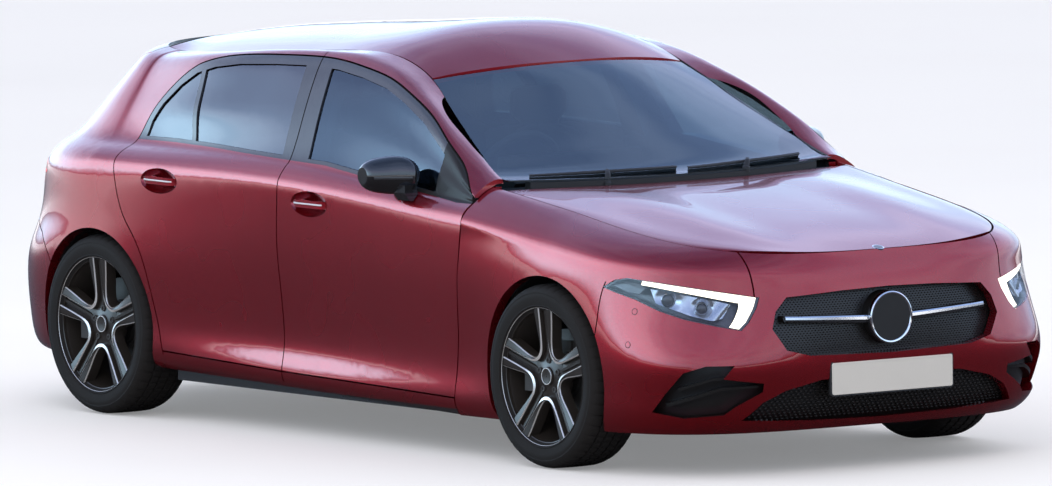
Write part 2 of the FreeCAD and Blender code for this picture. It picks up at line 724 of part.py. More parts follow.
spoiler = slab(spoiler_grid(0, 0), spoiler_grid(spoiler_front_thickness, spoiler_edge_thickness))
rear_window = through_tail(rear_window_outline)
tail_lamp_hole = through_tail(tail_lamp_outline)
tailgate_half = largest(tailgate.cut([rear_window, tail_lamp_hole]))
side_frame = largest(side_frame.cut(tail_lamp_hole))
tailgate = largest(fused([tailgate_half, mirrored(tailgate_half), spoiler]))
rear_pane = largest(glass_slab.common(through_tail(rear_window_outline, 0.998)))
tailgate_glass = largest(fused([rear_pane, mirrored(rear_pane)]))
lamp_depth = 34.0
tail_lamp_slab = body_slab(tail_lines[5:10], tail_columns, [lamp_depth] * 5, [0] * 5, 1)
tail_lamp = tail_lamp_slab.common(through_tail(tail_lamp_outline, 0.996))
tail_lamp_outer = largest(tail_lamp.cut(outside_tailgate))
tail_lamp_inner = largest(tail_lamp.common(inside_tailgate))

# Rear bumper with its diffuser
diffuser_outline = [(-600, 120), (-520, 318), (-380, 340), (380, 340), (520, 318), (600, 120)]
rear_bumper = fused([rear_bumper, mirrored(rear_bumper)])
rear_bumper = largest(rear_bumper.cut(along_x(diffuser_outline, -2300, -1900)))
diffuser_slab = body_slab(tail_lines[0:5], tail_columns, [40] * 5, [0] * 5, 8)
diffuser_half = largest(diffuser_slab.common(along_x([(a * 0.9993, b - running_gap) for a,
                                                      b in diffuser_outline], -2300, -1900)))
rear_diffuser = largest(fused([diffuser_half, mirrored(diffuser_half)]))

# Front bumper, headlamps and grilles
front_bumper = largest(fused([front_bumper, mirrored(front_bumper)]))


def scaled_outline(points, scale):
    a0 = (min(p[0] for p in points) + max(p[0] for p in points)) / 2
    b0 = (min(p[1] for p in points) + max(p[1] for p in points)) / 2
    return [(a0 + (a - a0) * scale, b0 + (b - b0) * scale) for a, b in points]


lens_thickness = 4.0
lamp_wall = 5.0
nose_end = nose_columns[:20]
lens_slab = body_slab(nose_lines, nose_end, [1 + lens_thickness] * 10, [0] * 10, 1)
headlamp_lens = largest(lens_slab.common(nose_prism(scaled_outline(headlamp_outline, 0.996))))
bucket_slab = body_slab(nose_lines, nose_end, [60] * 9 + [50], [0] * 9 + [10], 7)
bucket_space = body_slab(nose_lines, nose_end, [60 - lamp_wall] * 9 + [45], [0] * 9 + [10], 3)
bucket = largest(bucket_slab.common(nose_prism(scaled_outline(headlamp_outline, 0.992))))
headlamp_housing = largest(bucket.cut(bucket_space.common(nose_prism(scaled_outline(headlamp_outline,
        0.955)))))

backing_skin = 47.0
backing_thickness = 6.0
backing_slab = body_slab(nose_lines[0:9], nose_end, [backing_skin + backing_thickness] * 9, [0] * 9,
                         backing_skin)
backing_view = along_x([(-620, 176), (-600, 420), (-500, 430), (-478, 640), (10, 645), (10, 176)], 1700, 2300)
backing_corner = nose_prism(scaled_outline(side_intake, 1.1))
backing_half = largest(backing_slab.common(backing_view.fuse(backing_corner)))
backing = fused([backing_half, mirrored(backing_half)])
badge_radius = 92.0
badge_z = 530.0
badge_front_x = 2206.0
badge = Part.makeCylinder(badge_radius, 60, V(badge_front_x - 60, 0, badge_z), V(1, 0, 0))
bar_outline = [(85, 540), (430, 556), (434, 549), (430, 536), (85, 516)]
bar_slab = body_slab(nose_lines[0:9], nose_end, [backing_skin + 2] * 9, [0] * 9, 14)
bars = [bar_slab.common(along_x([(-a, b) for a, b in bar_outline], 1900, 2300))]
fin_outlines = [[(500, 262), (690, 318), (820, 322), (820, 314), (690, 306), (506, 250)],
                [(540, 316), (660, 352), (740, 356), (740, 348), (660, 342), (546, 306)]]
fin_slab = body_slab(nose_lines[0:9], nose_end, [backing_skin + 2] * 9, [0] * 9, 22)
fins = [fin_slab.common(nose_prism(p)).common(nose_prism(scaled_outline(side_intake,
                                                                        0.985))) for p in fin_outlines]
right_trim = [largest(s) for s in bars + fins]
grilles = fused([backing, badge] + right_trim + [mirrored(s) for s in right_trim])
grilles = largest(grilles)

# Side frame: the outer panel, a sill beam, the posts round the doors and the rear wheelhouse
sill_inner = 700.0
sill_outer = 800.0
sill_bottom = 145.0
side_frame = largest(side_frame.cut(box(door_front_line[0][0] - shut_gap, 1000, -1000, -400, 100, 212)))
sill_beam = along_y([(-975, sill_bottom), (930, sill_bottom), (930, 190), (-975, 234)], -sill_outer,
                    -sill_inner)
door_post_line = shifted(door_front_line[:7], -14)
front_post = along_y(door_post_line + [(925, 870), (925, 170), (840, 170)], -sill_outer + 5, -sill_inner)
front_post = front_post.fuse([box(872, 892, -762, -712, 840, 945), box(872, 925, -762, -712, 840, 885)])


def post_ring(x0, x1, outer, inner, z):
    return Part.makePolygon([V(x0, -outer, z), V(x1, -outer, z), V(x1, -inner, z), V(x0, -inner, z), V(x0,
            -outer, z)])


middle_post_rings = [(-330, -170, 775, 715, 175), (-325, -175, 775, 715, 900), (-312, -190, 745, 690, 985),
                     (-306, -200, 700, 650, 1098), (-300, -212, 630, 588, 1209), (-296, -226, 570, 535, 1300),
                     (-296, -226, 556, 528, 1340)]
middle_post = Part.makeLoft([post_ring(*r) for r in middle_post_rings], True, True)
wheelhouse_inner = 640.0
wheelhouse_radius = 354.0
wheelhouse_wall = 10.0
wheelhouse_foot = 338.0


def half_tube(x, radius, wall, y_low, y_high, z_low):
    tube = Part.makeCylinder(radius + wall, y_high - y_low, V(x, y_low, tyre_radius), V(0, 1, 0))
    tube = tube.cut(Part.makeCylinder(radius, y_high - y_low, V(x, y_low, tyre_radius), V(0, 1, 0)))
    return tube.common(box(x - 500, x + 500, y_low, y_high, z_low, 800))


rear_house = half_tube(rear_axle_x, wheelhouse_radius, wheelhouse_wall, -836,
                       -wheelhouse_inner + wheelhouse_wall, wheelhouse_foot)
rear_house = rear_house.cut(box(-1800, -1535, -850, -762, 0, 720))
house_disc = Part.makeCylinder(wheelhouse_radius + wheelhouse_wall, wheelhouse_wall, V(rear_axle_x,
        -wheelhouse_inner, tyre_radius),
                               V(0, 1, 0))
house_disc = house_disc.common(box(-1900, -900, -700, -600, wheelhouse_foot, 800))
side_frame_right = fused([side_frame, sill_beam, front_post, middle_post, rear_house, house_disc])
side_frame_right = largest(side_frame_right)


# Cowl and wipers under the windscreen
cowl_top = 934.0
cowl_bottom = 892.0
cowl_half = 690.0
cowl_rear_x = 937.0


def flat_prism(points, z_low, z_high):
    """Prism standing on a plan outline of (x, y) points."""
    return Part.Face(outline_wire([V(x, y, z_low) for x, y in points])).extrude(V(0, 0, z_high - z_low))


lip_shares = [i / 10 for i in range(-9, 10)]
screen_foot = [(screen_base_x + screen_base_bow * (1 - s * s) - 4, s * cowl_half) for s in lip_shares]
cowl_lip = flat_prism(screen_foot + [(905, 0.9 * cowl_half), (905, -0.9 * cowl_half)], cowl_top - 2, 975)
over_screen = slab(screen_grid(-60, -80), screen_grid(-60, glass_thickness + 3.5))
bonnet_moves = [V(-6, 0, 0), V(-6, 0, -8), V(0, 0, -8), V(-6, 0, 8)]
bonnet_room = []
for move in bonnet_moves:
    room = bonnet.copy()
    room.translate(move)
    bonnet_room.append(room)
cowl = box(cowl_rear_x, 1085, -cowl_half, cowl_half, cowl_bottom, cowl_top).fuse(cowl_lip)
screen_room = windscreen.copy()
screen_room.translate(V(0, 0, -3))
cowl = largest(cowl.cut([over_screen, windscreen, screen_room, box(1049, 1200, -800, 800, 905,
                                                                   1000)] + bonnet_room))

# Underbody: floor, tunnel, bulkhead, rails and the walls of the front wheelhouses
floor_z = 185.0
floor_thickness = 18.0
floor_half = 694.0
bulkhead_x = 1000.0
rail_half = 460.0
liner_radius = 366.0
liner_wall = 8.0
floor_parts = [box(-1000, bulkhead_x + 16, -floor_half, floor_half, floor_z, floor_z + floor_thickness),
               box(-900, bulkhead_x, -130, 130, floor_z, floor_z + 115),
               box(bulkhead_x, bulkhead_x + 16, -floor_half + 4, floor_half - 4, floor_z, 850),
               box(-1010, -995, -470, 470, floor_z, 350), box(-1990, -995, -470, 470, 332, 350),
               box(-2005, -1988, -470, 470, 332, 640),
               box(2030, 2066, -560, 560, 395, 500)]
for side in (-1, 1):
    low, high = sorted((side * (rail_half - 30), side * (rail_half + 30)))
    floor_parts.append(box(bulkhead_x + 10, 2040, low, high, 330, 430))
    low, high = sorted((side * 492, side * 484))
    floor_parts.append(box(front_axle_x - 250, front_axle_x + 250, low, high, 400, 820))
    low, high = sorted((side * 815, side * 484))
    floor_parts.append(half_tube(front_axle_x, liner_radius, liner_wall, low, high, 400).common(
        box(front_axle_x - 400, front_axle_x + 400, -900, 900, 300, 700)))
underbody = fused(floor_parts)

# Dashboard and steering wheel
cabin_half = 688.0
dash_profile = [(960, 640), (962, 868), (915, 905), (800, 925), (690, 918), (628, 880), (612, 815), (650,
        740), (700, 640)]
dashboard = along_y(dash_profile, -cabin_half, cabin_half)
hood_profile = [(700, 900), (592, 925), (590, 960), (640, 972), (740, 935)]
dashboard = fused([dashboard, along_y(hood_profile, -540, -200), box(150, 700, -120, 120, 320, 520),
                   box(560, 720, -120, 120, 480, 760)])
steering_x = 500.0
steering_y = -370.0
steering_z = 925.0
steering_radius = 178.0
steering_rim = 15.0
steering_lean = -24.0


def seated(shape):
    """Part of the steering wheel moved from the origin, where its axis is +X, to its place."""
    shape.rotate(V(0, 0, 0), V(0, 1, 0), -steering_lean)
    shape.translate(V(steering_x, steering_y, steering_z))
    return shape


steering_parts = [Part.makeTorus(steering_radius, steering_rim, V(0, 0, 0), V(1, 0, 0)),
                  Part.makeCylinder(62, 34, V(-20, 0, 0), V(1, 0, 0)),
                  Part.makeCylinder(30, 130, V(10, 0, 0), V(1, 0, 0)),
                  box(-8, 8, -steering_radius, steering_radius, -16, 16), box(-8, 8, -18, 18,
                                                                              -steering_radius, 0)]
steering_wheel = seated(steering_parts[0].multiFuse(steering_parts[1:]))
dashboard = largest(dashboard.cut(seated(Part.makeCylinder(36, 400, V(20, 0, 0), V(1, 0, 0)))))

# Seats: cushions, backs and head restraints
seat_width = 500.0
seat_y = 370.0
seat_cushion = [(330, 330), (350, 440), (300, 505), (0, 480), (-190, 470), (-230, 330)]
seat_back = [(-150, 450), (-215, 700), (-330, 1040), (-400, 1050), (-420, 1000), (-330, 700), (-280, 330),
             (-150, 330)]
head_rest = [(-352, 1060), (-345, 1190), (-420, 1205), (-445, 1060)]


def seat(y, width):
    low = y - width / 2
    high = y + width / 2
    parts = [along_y(seat_cushion, low, high), along_y(seat_back, low + 10, high - 10),
             along_y(head_rest, y - 130, y + 130), box(-390, -378, y - 70, y - 58, 1030, 1080),
             box(-390, -378, y + 58, y + 70, 1030, 1080)]
    seat_foot = floor_z + floor_thickness + running_gap
    legs = [box(-200, 250, y - 190, y - 160, seat_foot, 350), box(-200, 250, y + 160, y + 190, seat_foot,
                                                                  350)]
    return largest(fused(parts + legs))


front_seats = [seat(-seat_y, seat_width), seat(seat_y, seat_width)]
bench_half = 610.0
bench_profile = [(-640, 330), (-625, 430), (-680, 500), (-1060, 470), (-1230, 960), (-1300, 975), (-1330,
        930), (-1170, 330)]
bench = along_y(bench_profile, -bench_half, bench_half)
rests = [along_y([(-1225, 900), (-1262, 1075), (-1330, 1080), (-1320, 900)], y - 125,
                 y + 125) for y in (-390, 0, 390)]
rear_seat = largest(fused([bench] + rests)).cut(box(-2000, -980, -700, 700, 0, 350 + 6))
for side in (-1, 1):
    low, high = sorted((side * 560, side * 140))
    rear_seat = rear_seat.fuse(box(-975, -670, low, high, floor_z + floor_thickness + running_gap, 340))
rear_seat = largest(rear_seat)

# Engine as one plain block
engine_bottom = 236.0 + running_gap
engine = Part.makeBox(430, 700, 455, V(1130, -350, engine_bottom))
engine = engine.makeChamfer(40, engine.Edges)

# Exhaust: pipe, silencer and two tips
pipe_radius = 26.0
pipe_z = 150.0
pipe_y = 60.0
silencer = box(-2020, -1800, -330, 330, 215, 320)
tip_y = 430.0
hangers = [box(x - 15, x + 15, pipe_y - 20, pipe_y + 20, pipe_z, floor_z - running_gap) for x in (-800, 0,
        800)]
exhaust = fused(hangers + [Part.makeCylinder(pipe_radius, 2880, V(-1780, pipe_y, pipe_z), V(1, 0, 0)),
                 box(-1820, -1770, pipe_y - 40, pipe_y + 40, pipe_z - 20, 260), silencer]
                + [box(-2000, -1960, side * tip_y - 40, side * tip_y + 40, 225, 285) for side in (-1, 1)]
                + [box(-2010, -1960, min(side * 300, side * tip_y), max(side * 300, side * tip_y), 235,
                       275) for side in (-1, 1)])

# Wheels. The rim spins with its brake disc
front_wheel_y = front_track / 2
rear_wheel_y = rear_track / 2
rim_half = 105.0
tyre_bore = 229.6
tyre_flats = 72
tyre_profile = [(-88, tyre_bore), (-tyre_width / 2, 275), (-103, 309), (-75, tyre_radius), (75,
        tyre_radius), (103, 309),
                (tyre_width / 2, 275), (88, tyre_bore)]
rim_edge = rim_radius + rim_flange
rim_profile = [(-rim_half, rim_edge), (-98.4, rim_edge), (-92, 229), (92, 229), (98.4, rim_edge), (rim_half,
        rim_edge),
               (rim_half, 232), (96, 219), (-96, 219), (-rim_half, 232)]
hub_face = 88.0
hub_radius = 83.0
hub_back = 42.0
spoke_back = 62.0
hub_recess = 16.0
spoke_count = 5
spoke_end = 224.0
spoke_slot_width = 40.0
web_drop = 17.0
dish = [(hub_face - 1, 50), (hub_face + 4, 120), (hub_face + 14, spoke_end), (spoke_back, spoke_end),
        (spoke_back, hub_radius),
        (hub_back, hub_radius), (hub_back, 50)]
band_outer = [(207, 128), (156, 91), (116, 62), (98, 48), (86, 37), (77, 25), (72, 12)]
band_inner = [(228, 98), (173, 69), (127, 46), (110, 35), (98, 26), (90, 16), (86, 8)]
disc_radius = 160.0
disc_offset = 20.0
disc_thickness = 24.0
disc_bell_radius = 82.0
hub_pin_radius = 18.0
hub_pin_reach = 64.0


def turned(profile):
    """Ring turned about the Y axis from a profile of (outward offset on the right, radius)."""
    face = Part.Face(Part.makePolygon([V(r, -w, 0) for w, r in profile + profile[:1]]))
    return face.revolve(V(0, 0, 0), V(0, 1, 0), 360)


def turned_flats(profile, count):
    """The same ring in flats, with a corner at the bottom."""
    rows = []
    for k in range(count):
        a = math.radians(360.0 * k / count - 90)
        rows.append([V(r * math.cos(a), -w, r * math.sin(a)) for w, r in profile])
    faces = []
    for k in range(count):
        row = rows[k]
        after = rows[(k + 1) % count]
        for j in range(len(profile)):
            n = (j + 1) % len(profile)
            faces.append(Part.Face(Part.makePolygon([row[j], row[n], after[n], after[j], row[j]])))
    shell = Part.makeShell(faces)
    shell.sewShape()
    solid = Part.makeSolid(shell)
    if solid.Volume < 0:
        solid.reverse()
    return solid


def spoke_band():
    """Prism of one spoke band, that runs from the barrel round the hub side of a window and back."""
    outer = curve_through([V(u, 0, v) for u, v in band_outer] + [V(u, 0, -v) for u, v in band_outer[::-1]])
    inner = curve_through([V(u, 0, -v) for u, v in band_inner] + [V(u, 0, v) for u, v in band_inner[::-1]])
    ends = [Part.makeLine(outer.lastVertex().Point, inner.firstVertex().Point),
            Part.makeLine(inner.lastVertex().Point, outer.firstVertex().Point)]
    return Part.Face(Part.Wire([outer, ends[0], inner, ends[1]])).extrude(V(0, -150, 0))


band = turned(dish).common(spoke_band())
web_dish = turned([(w - web_drop, r) for w, r in dish[:3]] + [(w, r) for w, r in dish[3:]])
web = web_dish.common(box(50, spoke_end, -150, 0, -spoke_slot_width / 2, spoke_slot_width / 2))
rim_parts = [turned(rim_profile),
             Part.makeCylinder(hub_radius, hub_face - hub_back - hub_recess, V(0, hub_recess - hub_face, 0),
                               V(0, 1, 0)),
             Part.makeCylinder(disc_bell_radius, hub_face - disc_offset - 30, V(0, -hub_face + 40, 0), V(0,
                     1, 0)),
             Part.makeCylinder(disc_radius, disc_thickness, V(0, -disc_offset - disc_thickness / 2, 0), V(0,
                     1, 0))]
for turn in range(spoke_count):
    for shape, start_turn in ((band, 90), (web, 90 + 180 / spoke_count)):
        s = shape.copy()
        s.rotate(V(0, 0, 0), V(0, 1, 0), start_turn + turn * 360 / spoke_count)
        rim_parts.append(s)
rim = largest(rim_parts[0].multiFuse(rim_parts[1:]))
rim = rim.cut(Part.makeCylinder(hub_pin_radius + running_gap, 100, V(0, -hub_pin_reach - 5, 0), V(0, 1, 0)))
tyre = turned_flats(tyre_profile, tyre_flats)


def placed(shape, x, y):
    copy = shape.copy()
    if y > 0:
        copy = mirrored(copy)
    copy.translate(V(x, y, tyre_radius))
    return copy


# Knuckles and front suspension. The knuckle carries the caliper round the disc
kingpin_y = 760.0
caliper_slot = disc_thickness / 2 + 6
disc_y = front_wheel_y + disc_offset
rear_disc_y = rear_wheel_y + disc_offset


def caliper(disc_place):
    """Caliper behind the axle, open round the disc."""
    block = box(-168, -96, -disc_place - caliper_slot - 18, -disc_place + caliper_slot + 26, -62, 62)
    return block.cut(Part.makeCylinder(disc_radius + 6, 2 * caliper_slot, V(0, -disc_place - caliper_slot,
                                                                            0), V(0, 1, 0)))


knuckle_inner = 690.0
knuckle_face = disc_y - disc_thickness / 2 - 6
caliper_back = disc_y - caliper_slot
ball_radius = 10.0


def hub_pin(wheel_y, from_y):
    return Part.makeCylinder(hub_pin_radius, wheel_y + hub_pin_reach - from_y, V(0,
            -wheel_y - hub_pin_reach, 0), V(0, 1, 0))


knuckle = fused([caliper(disc_y), box(-150, -90, -caliper_back, -knuckle_inner, -50, 50),
                 box(-100, 40, -knuckle_face, -knuckle_inner, -45, 45), box(-32, 32, -knuckle_face,
                                                                            -knuckle_inner, -130, 120),
                 hub_pin(front_wheel_y, knuckle_inner)])
knuckle = knuckle.cut(Part.makeCylinder(ball_radius + running_gap, 40, V(0, -kingpin_y, -140), V(0, 0, 1)))
knuckle = largest(knuckle)
knuckle.translate(V(front_axle_x, 0, tyre_radius))
arm_z = 158.0
arm_thickness = 28.0
subframe_half = 400.0
subframe = [box(1240, 1480, -subframe_half, subframe_half, 190, 236)]
for side in (-1, 1):
    arm = Part.makeLoft([Part.makePolygon([V(x0, side * y, z), V(x1, side * y, z), V(x1, side * y,
            z + arm_thickness),
                                           V(x0, side * y, z + arm_thickness), V(x0, side * y, z)])
                         for x0, x1, y, z in ((1240, 1470, 380, 190), (1330, 1393, 640, arm_z), (1338, 1385,
                                 782, arm_z))], True, True)
    pin = Part.makeCylinder(ball_radius, 30 + arm_thickness, V(front_axle_x, side * kingpin_y, arm_z), V(0,
            0, 1))
    low, high = sorted((side * 436, side * 484))
    subframe += [arm, pin, box(1310, 1410, low, high, 192, 330 - running_gap), box(1310, 1410,
            min(side * 390, high), max(side * 390, low), 192, 230)]
front_subframe = largest(fused(subframe))

# Rear axle: beam, trailing arms, hub pins and calipers
rear_arm_half = 589.0
axle_beam = [box(rear_axle_x + 40, rear_axle_x + 110, -600, 600, 262, 322)]
for side in (-1, 1):
    low, high = sorted((side * (rear_arm_half + 29), side * (rear_arm_half - 29)))
    axle_beam.append(box(rear_axle_x - 60, rear_axle_x + 430, low, high, 235, 322))
    axle_beam.append(box(-995, -940, low, high, floor_z + floor_thickness + running_gap, 300))
    c = caliper(rear_disc_y)
    c = c.fuse(box(-150, -90, -rear_disc_y + caliper_slot, -655, -50, 50))
    c = c.fuse([box(-150, 60, -700, -655, -50, 12), box(-150, 60, -660, -570, -50, 6), hub_pin(rear_wheel_y,
            670)])
    if side > 0:
        c = mirrored(c)
    c.translate(V(rear_axle_x, 0, tyre_radius))
    axle_beam.append(c)
rear_axle = largest(fused(axle_beam))


# All nodes
def pair(name, shape):
    keep(name + "_right", shape)
    keep(name + "_left", mirrored(shape))


keep("underbody", underbody)
pair("side_frame", side_frame_right)
keep("roof_panel", roof)
pair("front_wing", front_wing)
keep("front_bumper", front_bumper)
keep("grilles", grilles)
keep("rear_bumper", rear_bumper)
keep("rear_diffuser", rear_diffuser)
keep("headlamp_housings", [headlamp_housing, mirrored(headlamp_housing)])
keep("headlamp_lenses", [headlamp_lens, mirrored(headlamp_lens)])
keep("tail_lamps", [tail_lamp_outer, mirrored(tail_lamp_outer)])
keep("windscreen", windscreen)
keep("cowl", cowl)
keep("dashboard", dashboard)
keep("steering_wheel", steering_wheel)
keep("front_seats", front_seats)
keep("rear_seat", rear_seat)
keep("engine", engine)
keep("exhaust", exhaust)
keep("front_subframe", front_subframe)
keep("rear_axle", rear_axle)
keep("bonnet", bonnet)
keep("tailgate", tailgate)
keep("tailgate_glass", tailgate_glass)
keep("tailgate_lamps", [tail_lamp_inner, mirrored(tail_lamp_inner)])
pair("front_door", front_door)
pair("rear_door", rear_door)
pair("front_glass", front_glass)
keep("rear_glass_right", rear_glass)
keep("rear_glass_left", [mirrored(g) for g in rear_glass])
pair("mirror", mirror)
pair("knuckle", knuckle)
for end, x, y in (("front", front_axle_x, front_wheel_y), ("rear", rear_axle_x, rear_wheel_y)):
    for side_name, side in (("right", -1), ("left", 1)):
        keep(end + "_tyre_" + side_name, placed(tyre, x, side * y))
        keep(end + "_rim_" + side_name, placed(rim, x, side * y))

for name in nodes:
    nodes[name].exportStep("parts/" + name + ".step")
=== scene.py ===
import bpy
import bmesh
import math
from mathutils import Matrix, Vector
from mathutils.bvhtree import BVHTree


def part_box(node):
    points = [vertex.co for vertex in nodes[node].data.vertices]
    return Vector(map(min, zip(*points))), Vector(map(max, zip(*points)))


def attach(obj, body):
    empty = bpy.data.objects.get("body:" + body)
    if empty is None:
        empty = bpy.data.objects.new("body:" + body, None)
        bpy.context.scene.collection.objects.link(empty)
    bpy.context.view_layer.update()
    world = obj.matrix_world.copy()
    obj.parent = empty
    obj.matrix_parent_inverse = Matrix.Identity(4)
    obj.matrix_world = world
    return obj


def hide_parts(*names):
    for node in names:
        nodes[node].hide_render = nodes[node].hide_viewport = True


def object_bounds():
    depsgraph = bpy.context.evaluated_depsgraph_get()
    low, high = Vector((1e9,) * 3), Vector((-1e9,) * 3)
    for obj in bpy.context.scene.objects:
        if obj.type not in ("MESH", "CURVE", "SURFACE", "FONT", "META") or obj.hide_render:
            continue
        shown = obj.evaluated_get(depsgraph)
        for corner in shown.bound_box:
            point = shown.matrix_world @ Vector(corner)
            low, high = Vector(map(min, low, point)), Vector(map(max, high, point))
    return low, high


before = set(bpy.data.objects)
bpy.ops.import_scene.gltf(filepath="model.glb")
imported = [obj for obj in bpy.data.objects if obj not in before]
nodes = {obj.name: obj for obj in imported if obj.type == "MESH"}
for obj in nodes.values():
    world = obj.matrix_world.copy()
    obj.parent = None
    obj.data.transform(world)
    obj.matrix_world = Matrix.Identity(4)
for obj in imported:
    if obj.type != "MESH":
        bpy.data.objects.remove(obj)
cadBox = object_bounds()
print("frame loaded:", len(nodes), "nodes")

# the camera, solved from the photograph
view = {
    "right": (0.5849297, 0.81097714, -0.01316503),
    "up": (-0.06373404, 0.06213826, 0.99603053),
    "forward": (-0.80857604, 0.58176878, -0.08803336),
    "distance": 80.768,
    "aim": (0, 0, 0.7),
    "slideRight": -0.02634,
    "slideUp": 0.05386,
    "lens": 780.0,
    "sensor": 36,
    "clipEnd": 600,
}


def makeCamera(spec):
    right, up, forward = (Vector(spec[k]) for k in ("right", "up", "forward"))
    data = bpy.data.cameras.new("camera")
    data.lens = spec["lens"]
    data.sensor_width = spec["sensor"]
    data.clip_end = spec["clipEnd"]
    camera = bpy.data.objects.new("camera", data)
    bpy.context.collection.objects.link(camera)
    camera.matrix_world = Matrix((right, up, -forward)).transposed().to_4x4()
    slide = right * spec["slideRight"] + up * spec["slideUp"]
    camera.location = Vector(spec["aim"]) - forward * spec["distance"] - slide
    bpy.context.scene.camera = camera


makeCamera(view)


# node helpers: tree is a node tree, and a value is a number, a colour or another node's output
def setInputs(tree, node, values):
    for label, value in values.items():
        if isinstance(value, bpy.types.NodeSocket):
            tree.links.new(value, node.inputs[label])
        else:
            node.inputs[label].default_value = value


def addNode(tree, kind, values=None, **settings):
    node = tree.nodes.new("ShaderNode" + kind)
    for label, setting in settings.items():
        setattr(node, label, setting)
    setInputs(tree, node, values or {})
    return node


def mathNode(tree, operation, a, b=0.0, clamp=False):
    return addNode(tree, "Math", {0: a, 1: b}, operation=operation, use_clamp=clamp).outputs[0]


def plus(tree, a, b):
    return mathNode(tree, "ADD", a, b)


def minus(tree, a, b):
    return mathNode(tree, "SUBTRACT", a, b)


def times(tree, a, b):
    return mathNode(tree, "MULTIPLY", a, b)


def softStep(tree, value, low, high):
    # 0 below low, 1 above high, and a ramp between
    return addNode(tree, "MapRange", {"Value": value, "From Min": low, "From Max": high}).outputs[0]


def mixColors(tree, share, first, second, kind="MIX"):
    return addNode(tree, "Mix", {0: share, 6: first, 7: second}, data_type="RGBA", blend_type=kind).outputs[2]


# node groups that several materials share
def newGroup(name, inputs, outputs):
    # inputs gives each socket's first value, outputs each socket's kind
    tree = bpy.data.node_groups.new(name, "ShaderNodeTree")
    for label, value in inputs.items():
        kind = "NodeSocketColor" if isinstance(value, tuple) else "NodeSocketFloat"
        tree.interface.new_socket(label, in_out="INPUT", socket_type=kind).default_value = value
    for label, kind in outputs.items():
        tree.interface.new_socket(label, in_out="OUTPUT", socket_type="NodeSocket" + kind)
    return tree, tree.nodes.new("NodeGroupInput").outputs, tree.nodes.new("NodeGroupOutput")


def makeGrainGroup():
    # mottled colour, roughness and a fine height, all from object coordinates
    first = {"Color": (0.5, 0.5, 0.5, 1), "Dark": (0.4, 0.4, 0.4, 1), "Scale": 200.0, "Patches": 3.0,
             "Roughness": 0.5, "Spread": 0.1}
    tree, given, sink = newGroup("grain", first, {"Color": "Color", "Roughness": "Float", "Height": "Float"})
    place = addNode(tree, "TexCoord").outputs["Object"]
    fine = addNode(tree, "TexNoise", {"Vector": place, "Scale": given["Scale"], "Detail": 3}).outputs[0]
    broad = addNode(tree, "TexNoise", {"Vector": place, "Scale": given["Patches"], "Detail": 5}).outputs[0]
    share = plus(tree, times(tree, fine, 0.45), times(tree, broad, 0.55))
    swing = times(tree, minus(tree, share, 0.5), given["Spread"])
    setInputs(tree, sink, {"Color": mixColors(tree, share, given["Color"], given["Dark"]), "Height": fine,
                           "Roughness": mathNode(tree, "ADD", given["Roughness"], swing, clamp=True)})
    return tree


def makeFlakeGroup():
    # metallic flakes: tiny cells that differ in brightness and tilt
    first = {"Color": (0.5, 0.1, 0.1, 1), "Bright": (0.8, 0.2, 0.2, 1), "Scale": 900.0}
    tree, given, sink = newGroup("flakes", first, {"Color": "Color", "Height": "Float"})
    place = addNode(tree, "TexCoord").outputs["Object"]
    cells = addNode(tree, "TexVoronoi", {"Vector": place, "Scale": given["Scale"]})
    split = addNode(tree, "SeparateColor", {0: cells.outputs["Color"]}).outputs
    share = mathNode(tree, "POWER", split[0], 3.0)
    setInputs(tree, sink, {"Color": mixColors(tree, share, given["Color"], given["Bright"]),
                           "Height": split[1]})
    return tree


def makeWeaveGroup():
    # threads over and under each other, from two crossed waves
    tree, given, sink = newGroup("weave", {"Scale": 400.0}, {"Height": "Float", "Mask": "Float"})
    place = addNode(tree, "TexCoord").outputs["Object"]
    values = {"Vector": place, "Scale": given["Scale"], "Distortion": 0.6}
    along, across = (addNode(tree, "TexWave", values, bands_direction=axis).outputs[1] for axis in ("X", "Z"))
    setInputs(tree, sink, {"Height": mathNode(tree, "MAXIMUM", along, across),
                           "Mask": times(tree, along, across)})
    return tree


grainGroup = makeGrainGroup()
flakeGroup = makeFlakeGroup()
weaveGroup = makeWeaveGroup()


# finishes
def startMaterial(name):
    material = bpy.data.materials.new(name)
    material.use_nodes = True
    return material, material.node_tree, material.node_tree.nodes["Principled BSDF"]


def addGrain(tree, color, dark, scale, patches, roughness, spread):
    values = {"Color": (*color, 1), "Dark": (*dark, 1), "Scale": scale, "Patches": patches,
              "Roughness": roughness, "Spread": spread}
    return addNode(tree, "Group", values, node_tree=grainGroup).outputs


def bumpFrom(tree, height, strength, distance=0.001):
    return addNode(tree, "Bump", {"Strength": strength, "Distance": distance, "Height": height}).outputs[0]


def plainFinish(name, color, dark, roughness, metallic=0.0, spread=0.15, scale=300.0, bump=0.15,
                coat=0.0, coatRoughness=0.03, specular=0.5):
    # moulded, cast, painted or turned surface with its own grain
    material, tree, shader = startMaterial(name)
    grain = addGrain(tree, color, dark, scale, 4.0, roughness, spread)
    setInputs(tree, shader, {"Base Color": grain["Color"], "Roughness": grain["Roughness"],
                             "Metallic": metallic, "Normal": bumpFrom(tree, grain["Height"], bump),
                             "Coat Weight": coat, "Coat Roughness": coatRoughness,
                             "Specular IOR Level": specular})
    return material


